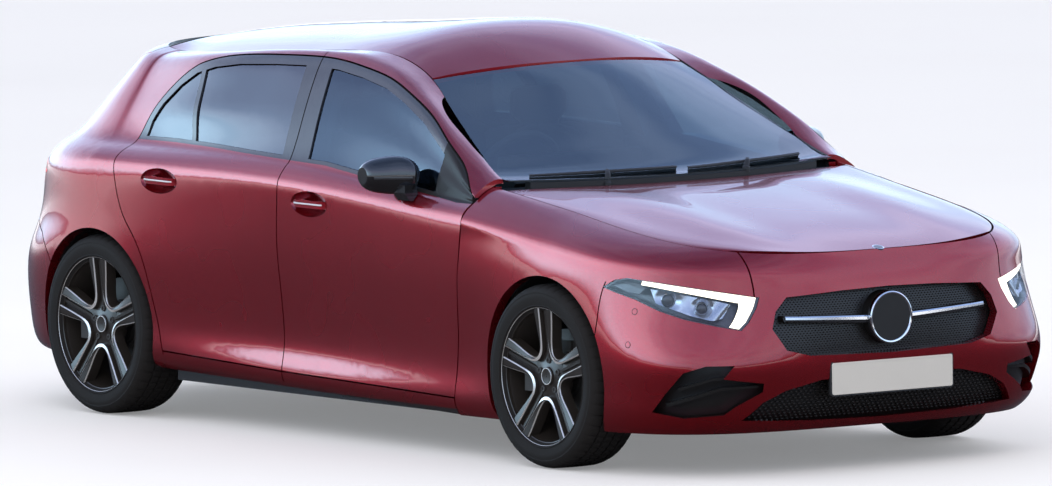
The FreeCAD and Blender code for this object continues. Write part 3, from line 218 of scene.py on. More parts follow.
def clearFinish(name, color, veil, veilShare, ior=1.5):
    # glass or clear plastic, tinted, under a mirrored coat that grows to the edge of sight
    material, tree, shader = startMaterial(name)
    grain = addGrain(tree, color, [c * 0.9 for c in color], 12.0, 2.0, 0.015, 0.02)
    setInputs(tree, shader, {"Base Color": (*veil, 1), "Metallic": 1.0, "Roughness": grain["Roughness"]})
    through = addNode(tree, "BsdfTransparent", {"Color": (*color, 1)})
    fresnel = addNode(tree, "Fresnel", {"IOR": ior}).outputs[0]
    outside = minus(tree, 1.0, addNode(tree, "NewGeometry").outputs["Backfacing"])
    share = times(tree, mathNode(tree, "ADD", fresnel, veilShare, clamp=True), outside)
    blend = addNode(tree, "MixShader", {0: share, 1: through.outputs[0], 2: shader.outputs[0]})
    tree.links.new(blend.outputs[0], tree.nodes["Material Output"].inputs["Surface"])
    return material


def glowFinish(name, color, strength):
    material, tree, shader = startMaterial(name)
    grain = addGrain(tree, color, [c * 0.8 for c in color], 60.0, 10.0, 0.3, 0.1)
    setInputs(tree, shader, {"Base Color": grain["Color"], "Emission Color": grain["Color"],
                             "Roughness": grain["Roughness"], "Emission Strength": strength})
    return material


def clothFinish(name, color, dark, threads):
    material, tree, shader = startMaterial(name)
    grain = addGrain(tree, color, dark, 500.0, 6.0, 0.85, 0.1)
    weave = addNode(tree, "Group", {"Scale": threads}, node_tree=weaveGroup).outputs
    shade = mixColors(tree, weave["Mask"], grain["Color"], (*[c * 1.6 for c in color], 1))
    setInputs(tree, shader, {"Base Color": shade, "Roughness": grain["Roughness"], "Sheen Weight": 0.25,
                             "Sheen Roughness": 0.5, "Normal": bumpFrom(tree, weave["Height"], 0.5, 0.0006)})
    return material


# pairs of numbers are the two ends of a soft edge, in metres
paint = {
    "color": (0.25, 0.003, 0.008, 1),
    "bright": (0.36, 0.007, 0.016, 1),
    # painted sheen: the colour the paint turns towards the edge of sight, and how much of it
    "grazingSheen": (0.3, 0.03, 0.06, 1),
    "grazingSheenShare": 0.75,
    "flakeScale": 700.0,
    "flakeBump": (0.015, 0.0003),
    "metallic": 0.78,
    "roughness": 0.27,
    "clouding": 0.06,
    "trim": (0.02, 0.02, 0.022, 1),
    "beltTrim": [(-1.3, 1.0), (-0.996, 1.005), (-0.749, 1.003), (-0.503, 0.996), (-0.258, 0.99),
                 (-0.015, 0.984), (0.228, 0.96), (0.71, 0.913), (0.8, 0.904)],
    "beltHeights": (0.88, 1.02),
    "trimEdge": (-0.0135, -0.0125),
    "mirrorCorner": (0.64, 0.645),
    "turnedAway": (0.25, 0.35),
    "archMiddle": (-1.3675, 0.322),
    "archReach": (0.3655, 0.3665),
    "archDepth": (0.845, 0.85),
    "postDepth": (0.8, 0.802),
    "postTop": (0.89, 0.9),
    "postRear": (-1.3, -1.29),
    "middlePost": [(-0.345, -0.335), (-0.165, -0.155), (0.24, 0.25), (1.31, 1.318)],
    "skirtTop": (0.168, 0.169),
}


def lineHeight(tree, x, points, lowZ, highZ):
    # height of a line of (x, z) points above each x
    lowX, highX = points[0][0], points[-1][0]
    curve = addNode(tree, "FloatCurve", {0: 1.0, 1: softStep(tree, x, lowX, highX)})
    line = curve.mapping.curves[0]
    spots = [((px - lowX) / (highX - lowX), (pz - lowZ) / (highZ - lowZ)) for px, pz in points]
    line.points[0].location = spots[0]
    line.points[1].location = spots[-1]
    for spot in spots[1:-1]:
        line.points.new(*spot)
    for point in line.points:
        point.handle_type = "VECTOR"
    curve.mapping.update()
    return addNode(tree, "MapRange", {"Value": curve.outputs[0], "To Min": lowZ, "To Max": highZ}).outputs[0]


def bodyPaint(name, masks=()):
    # metallic paint; masks turn parts of a panel into black trim
    material, tree, shader = startMaterial(name)
    place = addNode(tree, "TexCoord").outputs
    x, y, z = addNode(tree, "SeparateXYZ", {0: place["Object"]}).outputs
    facing = addNode(tree, "SeparateXYZ", {0: place["Normal"]}).outputs
    fromMiddle = mathNode(tree, "ABSOLUTE", y)
    coat, metallic = 1.0, paint["metallic"]
    found = []

    def past(value, edge):
        return softStep(tree, value, *edge)

    def under(value, edge):
        return minus(tree, 1.0, past(value, edge))

    if "windowFrames" in masks:
        found.append(past(minus(tree, z, lineHeight(tree, x, paint["beltTrim"], *paint["beltHeights"])),
                          paint["trimEdge"]))
        corner = times(tree, found[0], past(x, paint["mirrorCorner"]))
        coat = minus(tree, 1.0, times(tree, corner, 0.95))
    if "inner" in masks:
        outward = times(tree, facing[1], mathNode(tree, "SIGN", y))
        found.append(past(times(tree, outward, -1.0), paint["turnedAway"]))
    if "innerRear" in masks:
        found.append(past(facing[0], paint["turnedAway"]))
    if "arch" in masks:
        ax, az = (minus(tree, value, middle) for value, middle in zip((x, z), paint["archMiddle"]))
        reach = mathNode(tree, "SQRT", plus(tree, times(tree, ax, ax), times(tree, az, az)))
        found.append(times(tree, under(reach, paint["archReach"]), under(fromMiddle, paint["archDepth"])))
    if "posts" in masks:
        inside = times(tree, under(fromMiddle, paint["postDepth"]), under(z, paint["postTop"]))
        found.append(times(tree, inside, past(x, paint["postRear"])))
        rear, ahead, foot, head = paint["middlePost"]
        upright = times(tree, past(z, foot), under(z, head))
        found.append(times(tree, times(tree, past(x, rear), under(x, ahead)), upright))
    if "skirt" in masks:
        found.append(under(z, paint["skirtTop"]))
    flakeValues = {"Color": paint["color"], "Bright": paint["bright"], "Scale": paint["flakeScale"]}
    flakes = addNode(tree, "Group", flakeValues, node_tree=flakeGroup).outputs
    # painted sheen: the base colour turns pinker towards the edge of sight
    facingAway = mathNode(tree, "POWER", addNode(tree, "LayerWeight", {"Blend": 0.35}).outputs["Facing"], 2.2)
    color = mixColors(tree, times(tree, facingAway, paint["grazingSheenShare"]), flakes["Color"], paint["grazingSheen"])
    if found:
        mask = found[0]
        for other in found[1:]:
            mask = mathNode(tree, "MAXIMUM", mask, other)
        color = mixColors(tree, mask, color, paint["trim"])
        metallic = times(tree, minus(tree, 1.0, mask), metallic)
    noise = addNode(tree, "TexNoise", {"Scale": 2.5, "Vector": place["Object"]}).outputs[0]
    rough = plus(tree, times(tree, noise, paint["clouding"]), paint["roughness"] - paint["clouding"] / 2)
    setInputs(tree, shader, {"Base Color": color, "Metallic": metallic, "Roughness": rough,
                             "Coat Weight": coat, "Coat Roughness": 0.03, "Coat IOR": 1.6,
                             "Specular IOR Level": 0.1,
                             "Normal": bumpFrom(tree, flakes["Height"], *paint["flakeBump"])})
    return material


panelPaint = bodyPaint("panelPaint")
doorPaint = bodyPaint("doorPaint", ["windowFrames", "inner"])
framePaint = bodyPaint("framePaint", ["inner", "arch", "posts", "skirt"])
hatchPaint = bodyPaint("hatchPaint", ["innerRear"])
glossBlack = plainFinish("glossBlack", (0.012, 0.012, 0.014), (0.006, 0.006, 0.007), 0.12, spread=0.05,
                         bump=0.02, coat=1.0, coatRoughness=0.04)
matteBlack = plainFinish("matteBlack", (0.022, 0.022, 0.023), (0.012, 0.012, 0.013), 0.55, bump=0.3)
grilleBlack = plainFinish("grilleBlack", (0.013, 0.012, 0.012), (0.006, 0.006, 0.006), 0.35, bump=0.2)
grilleStud = plainFinish("grilleStud", (0.07, 0.062, 0.058), (0.035, 0.03, 0.028), 0.32, metallic=0.7,
                         bump=0.05)
tyreRubber = plainFinish("tyreRubber", (0.022, 0.02, 0.019), (0.012, 0.011, 0.011), 0.72, spread=0.2,
                         scale=450.0, bump=0.25, specular=0.12)
wheelBlack = plainFinish("wheelBlack", (0.04, 0.034, 0.031), (0.024, 0.021, 0.019), 0.32, metallic=0.2,
                         bump=0.05, specular=0.3, coat=0.25, coatRoughness=0.12)
turnedMetal = plainFinish("turnedMetal", (0.78, 0.77, 0.76), (0.6, 0.59, 0.58), 0.32, metallic=0.55,
                          scale=800.0, bump=0.08)
chrome = plainFinish("chrome", (0.82, 0.83, 0.85), (0.7, 0.71, 0.73), 0.08, metallic=1.0, spread=0.06,
                     bump=0.02)
castMetal = plainFinish("castMetal", (0.075, 0.072, 0.07), (0.042, 0.04, 0.039), 0.62, metallic=0.3,
                        scale=250.0, bump=0.5, specular=0.3)
discMetal = plainFinish("discMetal", (0.1, 0.095, 0.09), (0.06, 0.058, 0.055), 0.5, metallic=0.7, scale=500.0,
                        bump=0.1)
underCoat = plainFinish("underCoat", (0.022, 0.022, 0.024), (0.014, 0.014, 0.015), 0.7, bump=0.5)
dashPlastic = plainFinish("dashPlastic", (0.028, 0.028, 0.031), (0.016, 0.016, 0.018), 0.6, scale=600.0,
                          bump=0.6)
wheelLeather = plainFinish("wheelLeather", (0.025, 0.024, 0.024), (0.013, 0.013, 0.013), 0.5, scale=350.0,
                           bump=0.6)
seatCloth = clothFinish("seatCloth", (0.03, 0.03, 0.034), (0.018, 0.018, 0.021), 330.0)
screenGlass = clearFinish("screenGlass", (0.6, 0.66, 0.68), (0.8, 0.88, 0.92), 0.12)
sideGlass = clearFinish("sideGlass", (0.3, 0.37, 0.41), (0.56, 0.68, 0.8), 0.08)
rearGlass = clearFinish("rearGlass", (0.14, 0.18, 0.21), (0.66, 0.68, 0.72), 0.15)
lampGlass = clearFinish("lampGlass", (0.95, 0.96, 0.97), (0.9, 0.94, 1.0), 0.02, ior=1.25)
lampSilver = plainFinish("lampSilver", (0.58, 0.6, 0.64), (0.4, 0.42, 0.46), 0.22, metallic=0.9, spread=0.1,
                         bump=0.05)
lampDark = plainFinish("lampDark", (0.035, 0.038, 0.045), (0.02, 0.021, 0.025), 0.3, spread=0.1, bump=0.05,
                       coat=0.5)
lampGlow = glowFinish("lampGlow", (1.0, 0.9, 0.72), 2.2)
redLamp = plainFinish("redLamp", (0.42, 0.006, 0.01), (0.24, 0.003, 0.006), 0.2, bump=0.03, specular=0.2,
                      coat=0.5)
tailGlow = glowFinish("tailGlow", (0.8, 0.015, 0.02), 0.25)
tailClear = plainFinish("tailClear", (0.55, 0.52, 0.52), (0.45, 0.42, 0.42), 0.15, bump=0.05, coat=1.0)
plateWhite = plainFinish("plateWhite", (0.62, 0.61, 0.58), (0.54, 0.53, 0.5), 0.45, bump=0.05)
mirrorGlass = plainFinish("mirrorGlass", (0.75, 0.78, 0.8), (0.7, 0.73, 0.75), 0.03, metallic=1.0,
                          spread=0.02, bump=0.0)

cadFinishes = [
    (panelPaint, "roof_panel front_wing_right front_wing_left bonnet front_bumper rear_bumper"),
    (hatchPaint, "tailgate"),
    (framePaint, "side_frame_right side_frame_left"),
    (doorPaint, "front_door_right front_door_left rear_door_right rear_door_left"),
    (grilleBlack, "grilles"),
    (matteBlack, "rear_diffuser cowl"),
    (underCoat, "underbody"),
    (lampDark, "headlamp_housings"),
    (lampGlass, "headlamp_lenses"),
    (redLamp, "tail_lamps tailgate_lamps"),
    (screenGlass, "windscreen"),
    (sideGlass, "front_glass_right front_glass_left"),
    (rearGlass, "tailgate_glass rear_glass_right rear_glass_left"),
    (glossBlack, "mirror_right mirror_left"),
    (dashPlastic, "dashboard"),
    (wheelLeather, "steering_wheel"),
    (castMetal, "engine exhaust front_subframe rear_axle knuckle_right knuckle_left"),
]
for finish, names in cadFinishes:
    for name in names.split():
        materials = nodes[name].data.materials
        materials.clear()
        materials.append(finish)
print("finishes made:", len(bpy.data.materials))

# mesh helpers
sides = {"right": -1, "left": 1}
forward, downward = (1, 0, 0), (0, 0, -1)
skins = {}


def addPiece(name, shape, finish, body, smooth=True, faceFinish=None):
    # a mesh piece that rides on a body; shape is (vertices, faces), finish one material or a list, and
    # faceFinish says which of the list each face has, as a list or worked out from the face's number
    vertices, faces = shape
    mesh = bpy.data.meshes.new(name)
    mesh.from_pydata([tuple(v) for v in vertices], [], faces)
    for material in finish if isinstance(finish, list) else [finish]:
        mesh.materials.append(material)
    if callable(faceFinish):
        faceFinish = [faceFinish(k) for k in range(len(faces))]
    if faceFinish:
        mesh.polygons.foreach_set("material_index", faceFinish)
    build = bmesh.new()
    build.from_mesh(mesh)
    bmesh.ops.remove_doubles(build, verts=build.verts, dist=1e-6)
    bmesh.ops.recalc_face_normals(build, faces=build.faces)
    build.to_mesh(mesh)
    build.free()
    mesh.polygons.foreach_set("use_smooth", [smooth] * len(mesh.polygons))
    piece = bpy.data.objects.new(name, mesh)
    bpy.context.collection.objects.link(piece)
    if smooth:
        mesh.set_sharp_from_angle(angle=math.radians(32))
    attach(piece, body)
    return piece


def ringGrid(rings, closedRing=True, closedRows=False, capStart=False, capEnd=False):
    # vertices and faces of a skin through rings of points
    vertices = [p for ring in rings for p in ring]
    rows, size = len(rings), len(rings[0])
    faces = []
    for i in range(rows if closedRows else rows - 1):
        for j in range(size if closedRing else size - 1):
            across, ahead = (j + 1) % size, ((i + 1) % rows) * size
            faces.append((i * size + j, i * size + across, ahead + across, ahead + j))
    if capStart:
        faces.append(tuple(range(size))[::-1])
    if capEnd:
        faces.append(tuple((rows - 1) * size + j for j in range(size)))
    return vertices, faces


def bar(rings):
    return ringGrid(rings, capStart=True, capEnd=True)


def joined(parts):
    # one shape, and the finish of each of its faces, from (shape, finish number or numbers) pairs
    vertices, faces, finish = [], [], []
    for (points, patches), index in parts:
        start = len(vertices)
        vertices.extend(points)
        faces.extend(tuple(start + k for k in patch) for patch in patches)
        finish.extend([index] * len(patches) if isinstance(index, int) else index)
    return (vertices, faces), finish


def curveThrough(points, steps):
    # Catmull-Rom line through points of two or three numbers
    result = []
    last = len(points) - 1
    for i in range(last):
        p0, p1, p2, p3 = (Vector(points[max(0, min(last, k))]).to_3d() for k in (i - 1, i, i + 1, i + 2))
        for s in range(steps):
            t = s / steps
            result.append(0.5 * (2 * p1 + (p2 - p0) * t + (2 * p0 - 5 * p1 + 4 * p2 - p3) * t * t
                                 + (3 * p1 - p0 - 3 * p2 + p3) * t ** 3))
    result.append(Vector(points[-1]).to_3d())
    return result


def hit(nodeName, origin, direction):
    # where a ray first meets a CAD node, and its normal there
    if nodeName not in skins:
        mesh = nodes[nodeName].data
        corners = [v.co for v in mesh.vertices]
        skins[nodeName] = BVHTree.FromPolygons(corners, [tuple(p.vertices) for p in mesh.polygons])
    return skins[nodeName].ray_cast(Vector(origin), Vector(direction).normalized())[:2]


def mirrorPoint(p, side):
    return Vector((p[0], p[1] * side, p[2]))


def around(steps):
    return [2 * math.pi * k / steps for k in range(steps)]


def placement(spot, across, up, out):
    # a place with its three axes along these directions
    place = Matrix((across, up, out)).transposed().to_4x4()
    place.translation = spot
    return place


def standingOn(spot, normal):
    return Matrix.Translation(spot) @ normal.to_track_quat("Z", "X").to_matrix().to_4x4()


def turnedRings(place, profile, steps):
    # rings of (radius, height) points about the place's third axis
    return [[place @ Vector((r * math.cos(a), r * math.sin(a), h)) for a in around(steps)]
            for r, h in profile]


def turnedShape(place, profile, steps):
    # the same profile as a closed section
    rings = [[place @ Vector((r * math.cos(a), r * math.sin(a), h)) for r, h in profile]
             for a in around(steps)]
    return ringGrid(rings, closedRows=True)


# wheels: profiles are (radius, outward) points, from the wheel's middle
tyre = {
    "steps": 288,
    "radius": 0.322,
    "crown": 0.0016,
    "treadHalf": 0.075,
    "grooves": (-0.056, -0.019, 0.019, 0.056),
    "grooveHalf": 0.0045,
    "grooveTaper": 0.0012,
    "grooveDepth": 0.007,
    "sipeDepth": 0.0045,
    "sipeLean": 0.35,
    "shoulder": 0.055,
    "bead": (0.2296, 0.03),
    "side": [(0.2296, 0.088), (0.236, 0.098), (0.2445, 0.1085), (0.2475, 0.1105), (0.2505, 0.1085),
             (0.262, 0.1105), (0.275, 0.1123), (0.2865, 0.1118), (0.2885, 0.1108), (0.292, 0.1108),
             (0.294, 0.1112), (0.303, 0.107)],
    "edge": [(0.3095, 0.1015), (0.3135, 0.0965), (0.3162, 0.0905), (0.3188, 0.082)],
    "edgeSipe": 0.6,
}


def wheelPlace(end, side):
    # the wheel's middle, with its third axis outward
    low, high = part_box(end + "_tyre_" + side)
    return placement((low + high) / 2, (1, 0, 0), (0, 0, 1), (0, sides[side], 0))


def tyreProfile():
    # (radius, outward, sipe share) from the inner bead over the tread to the outer bead and back inside
    def crown(h):
        return tyre["radius"] - tyre["crown"] * abs(h / tyre["treadHalf"]) ** 2.5

    points = [(r, -h, 0.0) for r, h in tyre["side"]] + [(r, -h, tyre["edgeSipe"]) for r, h in tyre["edge"]]
    edge = -tyre["treadHalf"]
    for groove in tyre["grooves"]:
        low, high = groove - tyre["grooveHalf"], groove + tyre["grooveHalf"]
        points += [(crown(h), h, 1.0) for h in (edge, (edge + low) / 2, low)]
        points += [(crown(low) - tyre["grooveDepth"], low + tyre["grooveTaper"], 0.0),
                   (crown(high) - tyre["grooveDepth"], high - tyre["grooveTaper"], 0.0)]
        edge = high
    points += [(crown(h), h, 1.0) for h in (edge, 0.068, tyre["treadHalf"])]
    points += [(r, h, tyre["edgeSipe"]) for r, h in tyre["edge"][::-1]]
    points += [(r, h, 0.0) for r, h in tyre["side"][::-1]]
    bead, inside = tyre["bead"]
    return points + [(bead, inside, 0.0), (bead, -inside, 0.0)]


def makeTyre(end, side):
    place = wheelPlace(end, side)
    profile = tyreProfile()
    rings = []
    for k in range(tyre["steps"]):
        ring = []
        for r, h, share in profile:
            turn = 2 * math.pi * (k + tyre["sipeLean"] * h / tyre["treadHalf"]) / tyre["steps"]
            cut = k % 6 == 0 if abs(h) > tyre["shoulder"] else (k + 3) % 4 == 0
            reach = r - tyre["sipeDepth"] * share if cut else r
            ring.append(place @ Vector((reach * math.cos(turn), reach * math.sin(turn), h)))
        rings.append(ring)
    name = end + "_" + side + "Tyre"
    piece = addPiece(name, ringGrid(rings, closedRows=True), tyreRubber, end + "_wheel_" + side)
    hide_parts(end + "_tyre_" + side)


rim = {
    "windows": 5,
    "outer": [(0.2031, 0.1254), (0.1562, 0.0913), (0.1158, 0.0619), (0.0985, 0.0485), (0.086, 0.0375),
              (0.077, 0.025), (0.0718, 0.012), (0.0705, 0.0)],
    "inner": [(0.2243, 0.0963), (0.1727, 0.0686), (0.1275, 0.0457), (0.11, 0.035), (0.0985, 0.0262),
              (0.0905, 0.0175), (0.086, 0.0085), (0.085, 0.0)],
    "bevel": [0.0045, 0.0045, 0.005, 0.006, 0.008, 0.0095, 0.0105, 0.011],
    "brightStrips": (2, 7),
    "hubFace": 0.088,
    "rimFace": 0.1025,
    "slotDepth": 0.03,
    "windowDepth": 0.046,
    "webReaches": (0.05, 0.085, 0.12, 0.17, 0.238),
    "webDrop": 0.017,
    "web": [(-0.026, -0.004), (-0.008, -0.002), (-0.0045, 0.0035), (0.0045, 0.0035), (0.008, -0.002),
            (0.026, -0.004), (0.02, -0.022), (-0.02, -0.022)],
    "boltReach": 0.056,
    "bolt": [(0.0115, 0.069), (0.0115, 0.0765), (0.01, 0.078), (0.007, 0.078), (0.0062, 0.0745)],
    "barrel": [(0.2462, 0.103), (0.24, 0.1015), (0.2385, 0.0985), (0.233, 0.09), (0.227, 0.07),
               (0.223, 0.04), (0.213, 0.01), (0.212, -0.07), (0.218, -0.09), (0.233, -0.098),
               (0.2462, -0.103), (0.2462, -0.099), (0.23, -0.09), (0.2292, 0.09), (0.2462, 0.099)],
    "lip": [(0.247, 0.101), (0.247, 0.104), (0.2455, 0.105), (0.2415, 0.1046), (0.2398, 0.103),
            (0.2398, 0.101)],
    "hub": [(0.002, 0.0842), (0.022, 0.0846), (0.0255, 0.0852), (0.03, 0.085), (0.0325, 0.0838),
            (0.033, 0.076), (0.04, 0.073), (0.078, 0.0715), (0.086, 0.07), (0.086, 0.03), (0.06, 0.024),
            (0.048, 0.024), (0.048, -0.03), (0.02, -0.03), (0.019, 0.06), (0.002, 0.06)],
    "capRing": [(0.0262, 0.085), (0.027, 0.0862), (0.0288, 0.0862), (0.0296, 0.0848)],
    "disc": [(0.05, 0.004), (0.082, 0.006), (0.084, -0.0085), (0.158, -0.0085), (0.16, -0.0095),
             (0.16, -0.015), (0.154, -0.0155), (0.154, -0.0245), (0.16, -0.025), (0.16, -0.031),
             (0.158, -0.032), (0.09, -0.032), (0.09, -0.024), (0.05, -0.024)],
}


def spokeFace(reach):
    share = max(0.0, min(1.0, (reach - 0.07) / 0.165))
    return rim["hubFace"] + (rim["rimFace"] - rim["hubFace"]) * share ** 1.3


def bandSections():
    # cross sections of the band round one window, as rows of flat point and height
    outer, inner = (curveThrough(rim[line], 4) for line in ("outer", "inner"))
    bevels = curveThrough([(b, 0) for b in rim["bevel"]], 4)
    rows = []
    for o, i, (bevel, _, _) in zip(outer, inner, bevels):
        width = (i - o).length
        across = (i - o) / width
        face = spokeFace(o.length)
        thin = min(0.003, width * 0.15)
        cuts = [(0.0015, -rim["slotDepth"]), (0.0, -0.0042), (0.0006, -0.003), (bevel, 0.0),
                (bevel + 0.0008, -0.001), ((bevel + width) / 2, -0.0022),
                (max(bevel + 0.0012, width - thin - 0.0006), -0.0034),
                (max(bevel + 0.0016, width - thin), -0.0026), (width, -0.0062),
                (width + 0.0022, -rim["windowDepth"])]
        rows.append([(o + across * w, face + h) for w, h in cuts])
    return [[(Vector((p[0], -p[1], 0)), h) for p, h in row] for row in rows] + rows[-2::-1]


def flatAxes(turn):
    return Vector((math.cos(turn), math.sin(turn))), Vector((-math.sin(turn), math.cos(turn)))


def makeRim(end, side):
    place = wheelPlace(end, side)
    black, bright, cast, disc = range(4)
    parts = [(turnedShape(place, rim["barrel"], 144), black), (turnedShape(place, rim["lip"], 144), bright)]
    sections = bandSections()
    size = len(sections[0])
    for window in range(rim["windows"]):
        turn = 2 * math.pi * window / rim["windows"] - math.pi / 2
        ahead, beside = flatAxes(turn)
        band = [[place @ Vector((*(ahead * p[0] + beside * p[1]), h)) for p, h in row] for row in sections]
        shape = ringGrid(band)
        strips = [bright if k % size in rim["brightStrips"] else black for k in range(len(shape[1]))]
        parts.append((shape, strips))
        # the web in the slot between this band and the next, and the bolt at its foot
        ahead, beside = flatAxes(turn + math.pi / rim["windows"])
        web = [[place @ Vector((*(ahead * reach + beside * w), spokeFace(reach) - rim["webDrop"] + h))
                for w, h in rim["web"]] for reach in rim["webReaches"]]
        parts.append((bar(web), black))
        boltPlace = place @ Matrix.Translation((*(ahead * rim["boltReach"]), 0))
        parts.append((ringGrid(turnedRings(boltPlace, rim["bolt"], 12), capEnd=True), cast))
    parts += [(turnedShape(place, rim["hub"], 60), black), (turnedShape(place, rim["capRing"], 60), bright),
              (turnedShape(place, rim["disc"], 96), disc)]
    shape, finish = joined(parts)
    piece = addPiece(end + "_" + side + "Rim", shape, [wheelBlack, turnedMetal, castMetal, discMetal],
                     end + "_wheel_" + side, faceFinish=finish)
    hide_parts(end + "_rim_" + side)


for end in ("front", "rear"):
    for side in sides:
        makeTyre(end, side)
        makeRim(end, side)
print("wheels made")

# headlamps, laid out on the right as seen square to the front corner: (across, height) points
lamp = {
    "yaw": math.radians(-35.7),
    "ledUpper": [(0.425, 0.6835), (0.48, 0.6765), (0.61, 0.658), (0.735, 0.6385), (0.8155, 0.6245)],
    "ledLower": [(0.421, 0.669), (0.48, 0.66), (0.61, 0.6365), (0.71, 0.6165), (0.756, 0.6075)],
    "ledFootOuter": [(0.8155, 0.6245), (0.803, 0.585), (0.779, 0.54), (0.756, 0.519)],
    "ledFootInner": [(0.756, 0.6075), (0.753, 0.585), (0.738, 0.55), (0.722, 0.5265)],
    "ledSection": [(0, 0.016), (0, 0.01), (0.1, 0.0085), (0.5, 0.008), (0.9, 0.0085), (1, 0.01), (1, 0.016)],
    "reflectorTop": [(0.452, 0.655), (0.54, 0.64), (0.62, 0.626), (0.69, 0.612), (0.728, 0.603)],
    "reflectorLow": [(0.47, 0.606), (0.54, 0.582), (0.61, 0.56), (0.665, 0.549), (0.7, 0.556)],
    "reflectorSteps": (64, 20),
    "reflectorDepth": 0.02,
    "ripple": 0.003,
    "dishDepth": 0.017,
    "dishReach": 1.55,
    "modules": [(0.512, 0.618, 0.03), (0.628, 0.59, 0.027)],
    "moduleDepth": 0.03,
    "moduleProfile": [(1.0, 0.0), (1.0, 0.01), (0.93, 0.012), (0.88, 0.009), (0.86, 0.004), (0.8, 0.008),
                      (0.6, 0.0115), (0.3, 0.0135), (0.02, 0.014)],
    "blade": [(0.318, 0.664), (0.372, 0.68), (0.418, 0.674), (0.44, 0.656), (0.42, 0.634), (0.372, 0.64)],
    "bladeMiddle": (0.375, 0.658),
    "bladeRows": [(0.0, 0.024), (0.0, 0.014), (0.12, 0.011), (0.45, 0.012)],
}
across = Vector((-math.sin(lamp["yaw"]), math.cos(lamp["yaw"]), 0))
along = Vector((math.cos(lamp["yaw"]), math.sin(lamp["yaw"]), 0))


def cornerStart(point):
    return across * point[0] + along * 2.6 + Vector((0, 0, point[1]))


def cornerPoint(point, depth):
    # point behind the lamp glass, or behind the bumper where the lamp ends
    for node in ("headlamp_lenses", "front_bumper"):
        spot, _ = hit(node, cornerStart(point), -along)
        if spot:
            return spot - along * depth
    return cornerStart(point) - along * (0.65 + depth)


def ledStrip(side, s):
    # light guide along the lamp's upper edge and down its inner end, with a lit face and silver sides
    upper, lower = (curveThrough(lamp[first], 6) + curveThrough(lamp[foot], 5)[1:]
                    for first, foot in (("ledUpper", "ledFootOuter"), ("ledLower", "ledFootInner")))
    rings = [[mirrorPoint(cornerPoint(p.lerp(q, share), depth), s) for share, depth in lamp["ledSection"]]
             for p, q in zip(upper, lower)]
    addPiece("ledStrip_" + side, bar(rings), [lampGlow, lampSilver], "body",
             faceFinish=lambda k: 1 if k % len(rings[0]) in (0, 5, 6) else 0)


def lampReflector(side, s):
    # bright moulding with a dish round each lamp module
    columns, rows = lamp["reflectorSteps"]
    top, low = (curveThrough(lamp[edge], columns // 4) for edge in ("reflectorTop", "reflectorLow"))
    rings = []
    for i in range(columns + 1):
        ring = []
        for j in range(rows + 1):
            p = top[i].lerp(low[i], j / rows)
            depth = lamp["reflectorDepth"] + lamp["ripple"] * math.sin(i / columns * 19 + j / rows * 3)
            for a, z, radius in lamp["modules"]:
                away = math.hypot(p[0] - a, (p[1] - z) * 1.15) / (radius * lamp["dishReach"])
                depth += lamp["dishDepth"] * max(0.0, 1 - away ** 2)
            ring.append(mirrorPoint(cornerPoint(p, depth), s))
        rings.append(ring)
    addPiece("lampReflector_" + side, ringGrid(rings, closedRing=False), lampSilver, "body")


def lampModules(side, s):
    # two round lamps, each a bright ring of three strips round a dark bowl
    parts = []
    for a, z, radius in lamp["modules"]:
        place = placement(cornerPoint((a, z), lamp["moduleDepth"]), across, (0, 0, 1), along)
        profile = [(0.78 * radius * share, rise) for share, rise in lamp["moduleProfile"]]
        rings = turnedRings(place, profile, 32)
        shape = ringGrid([[mirrorPoint(p, s) for p in ring] for ring in rings], capEnd=True)
        parts.append((shape, [0 if k < 3 * 32 else 1 for k in range(len(shape[1]))]))
    shape, finish = joined(parts)
    addPiece("lampModules_" + side, shape, [lampSilver, lampDark], "body", faceFinish=finish)


def lampBlade(side, s):
    # clear-edged blade from the outer corner to the modules
    middle = Vector(lamp["bladeMiddle"])
    rings = [[mirrorPoint(cornerPoint(Vector(p).lerp(middle, inset), depth), s) for p in lamp["blade"]]
             for inset, depth in lamp["bladeRows"]]
    addPiece("lampBlade_" + side, ringGrid(rings, capEnd=True), lampDark, "body", smooth=False)


for side, s in (("right", 1), ("left", -1)):
    ledStrip(side, s)
    lampReflector(side, s)
    lampModules(side, s)
    lampBlade(side, s)
print("headlamps made")

# studs: outline is (y, z) points, from and to the corners of the field, and shape one stud about its place
grilleStuds = {
    "outline": [(-0.347, 0.417), (-0.44, 0.44), (-0.486, 0.515), (-0.466, 0.575), (-0.42, 0.622),
                (-0.2, 0.634), (0, 0.638), (0.2, 0.634), (0.42, 0.622), (0.466, 0.575), (0.486, 0.515),
                (0.44, 0.44), (0.347, 0.417), (0, 0.408)],
    "from": (-0.486, 0.412),
    "to": (0.487, 0.636),
    "pitch": (0.0135, 0.0078),
    "facing": 0.4,
    "depths": (1.95, 2.18),
    "badgeRoom": 0.098,
    "shape": [(-0.001, -0.0048, 0), (-0.001, 0, -0.003), (-0.001, 0.0048, 0), (-0.001, 0, 0.003),
              (0.0065, 0, 0)],
    "faces": [(0, 1, 4), (1, 2, 4), (2, 3, 4), (3, 0, 4)],
}
lowerMesh = {
    "outline": [(-0.58, 0.2), (-0.52, 0.262), (-0.44, 0.3), (-0.3, 0.33), (0, 0.338), (0.3, 0.33),
                (0.44, 0.3), (0.52, 0.262), (0.58, 0.2), (0.3, 0.186), (0, 0.18), (-0.3, 0.186)],
    "from": (-0.56, 0.196),
    "to": (0.561, 0.332),
    "pitch": (0.02, 0.0105),
    "facing": 0.3,
    "depths": (1.5, 2.5),
    "badgeRoom": 0.0,
    "shape": [(0, -0.0085, 0), (0, 0, -0.0035), (0, 0.0085, 0), (0, 0, 0.0035), (0.007, -0.006, 0),
              (0.007, 0, -0.0018), (0.007, 0.006, 0), (0.007, 0, 0.0018)],
    "faces": [(0, 1, 5, 4), (1, 2, 6, 5), (2, 3, 7, 6), (3, 0, 4, 7), (4, 5, 6, 7)],
}
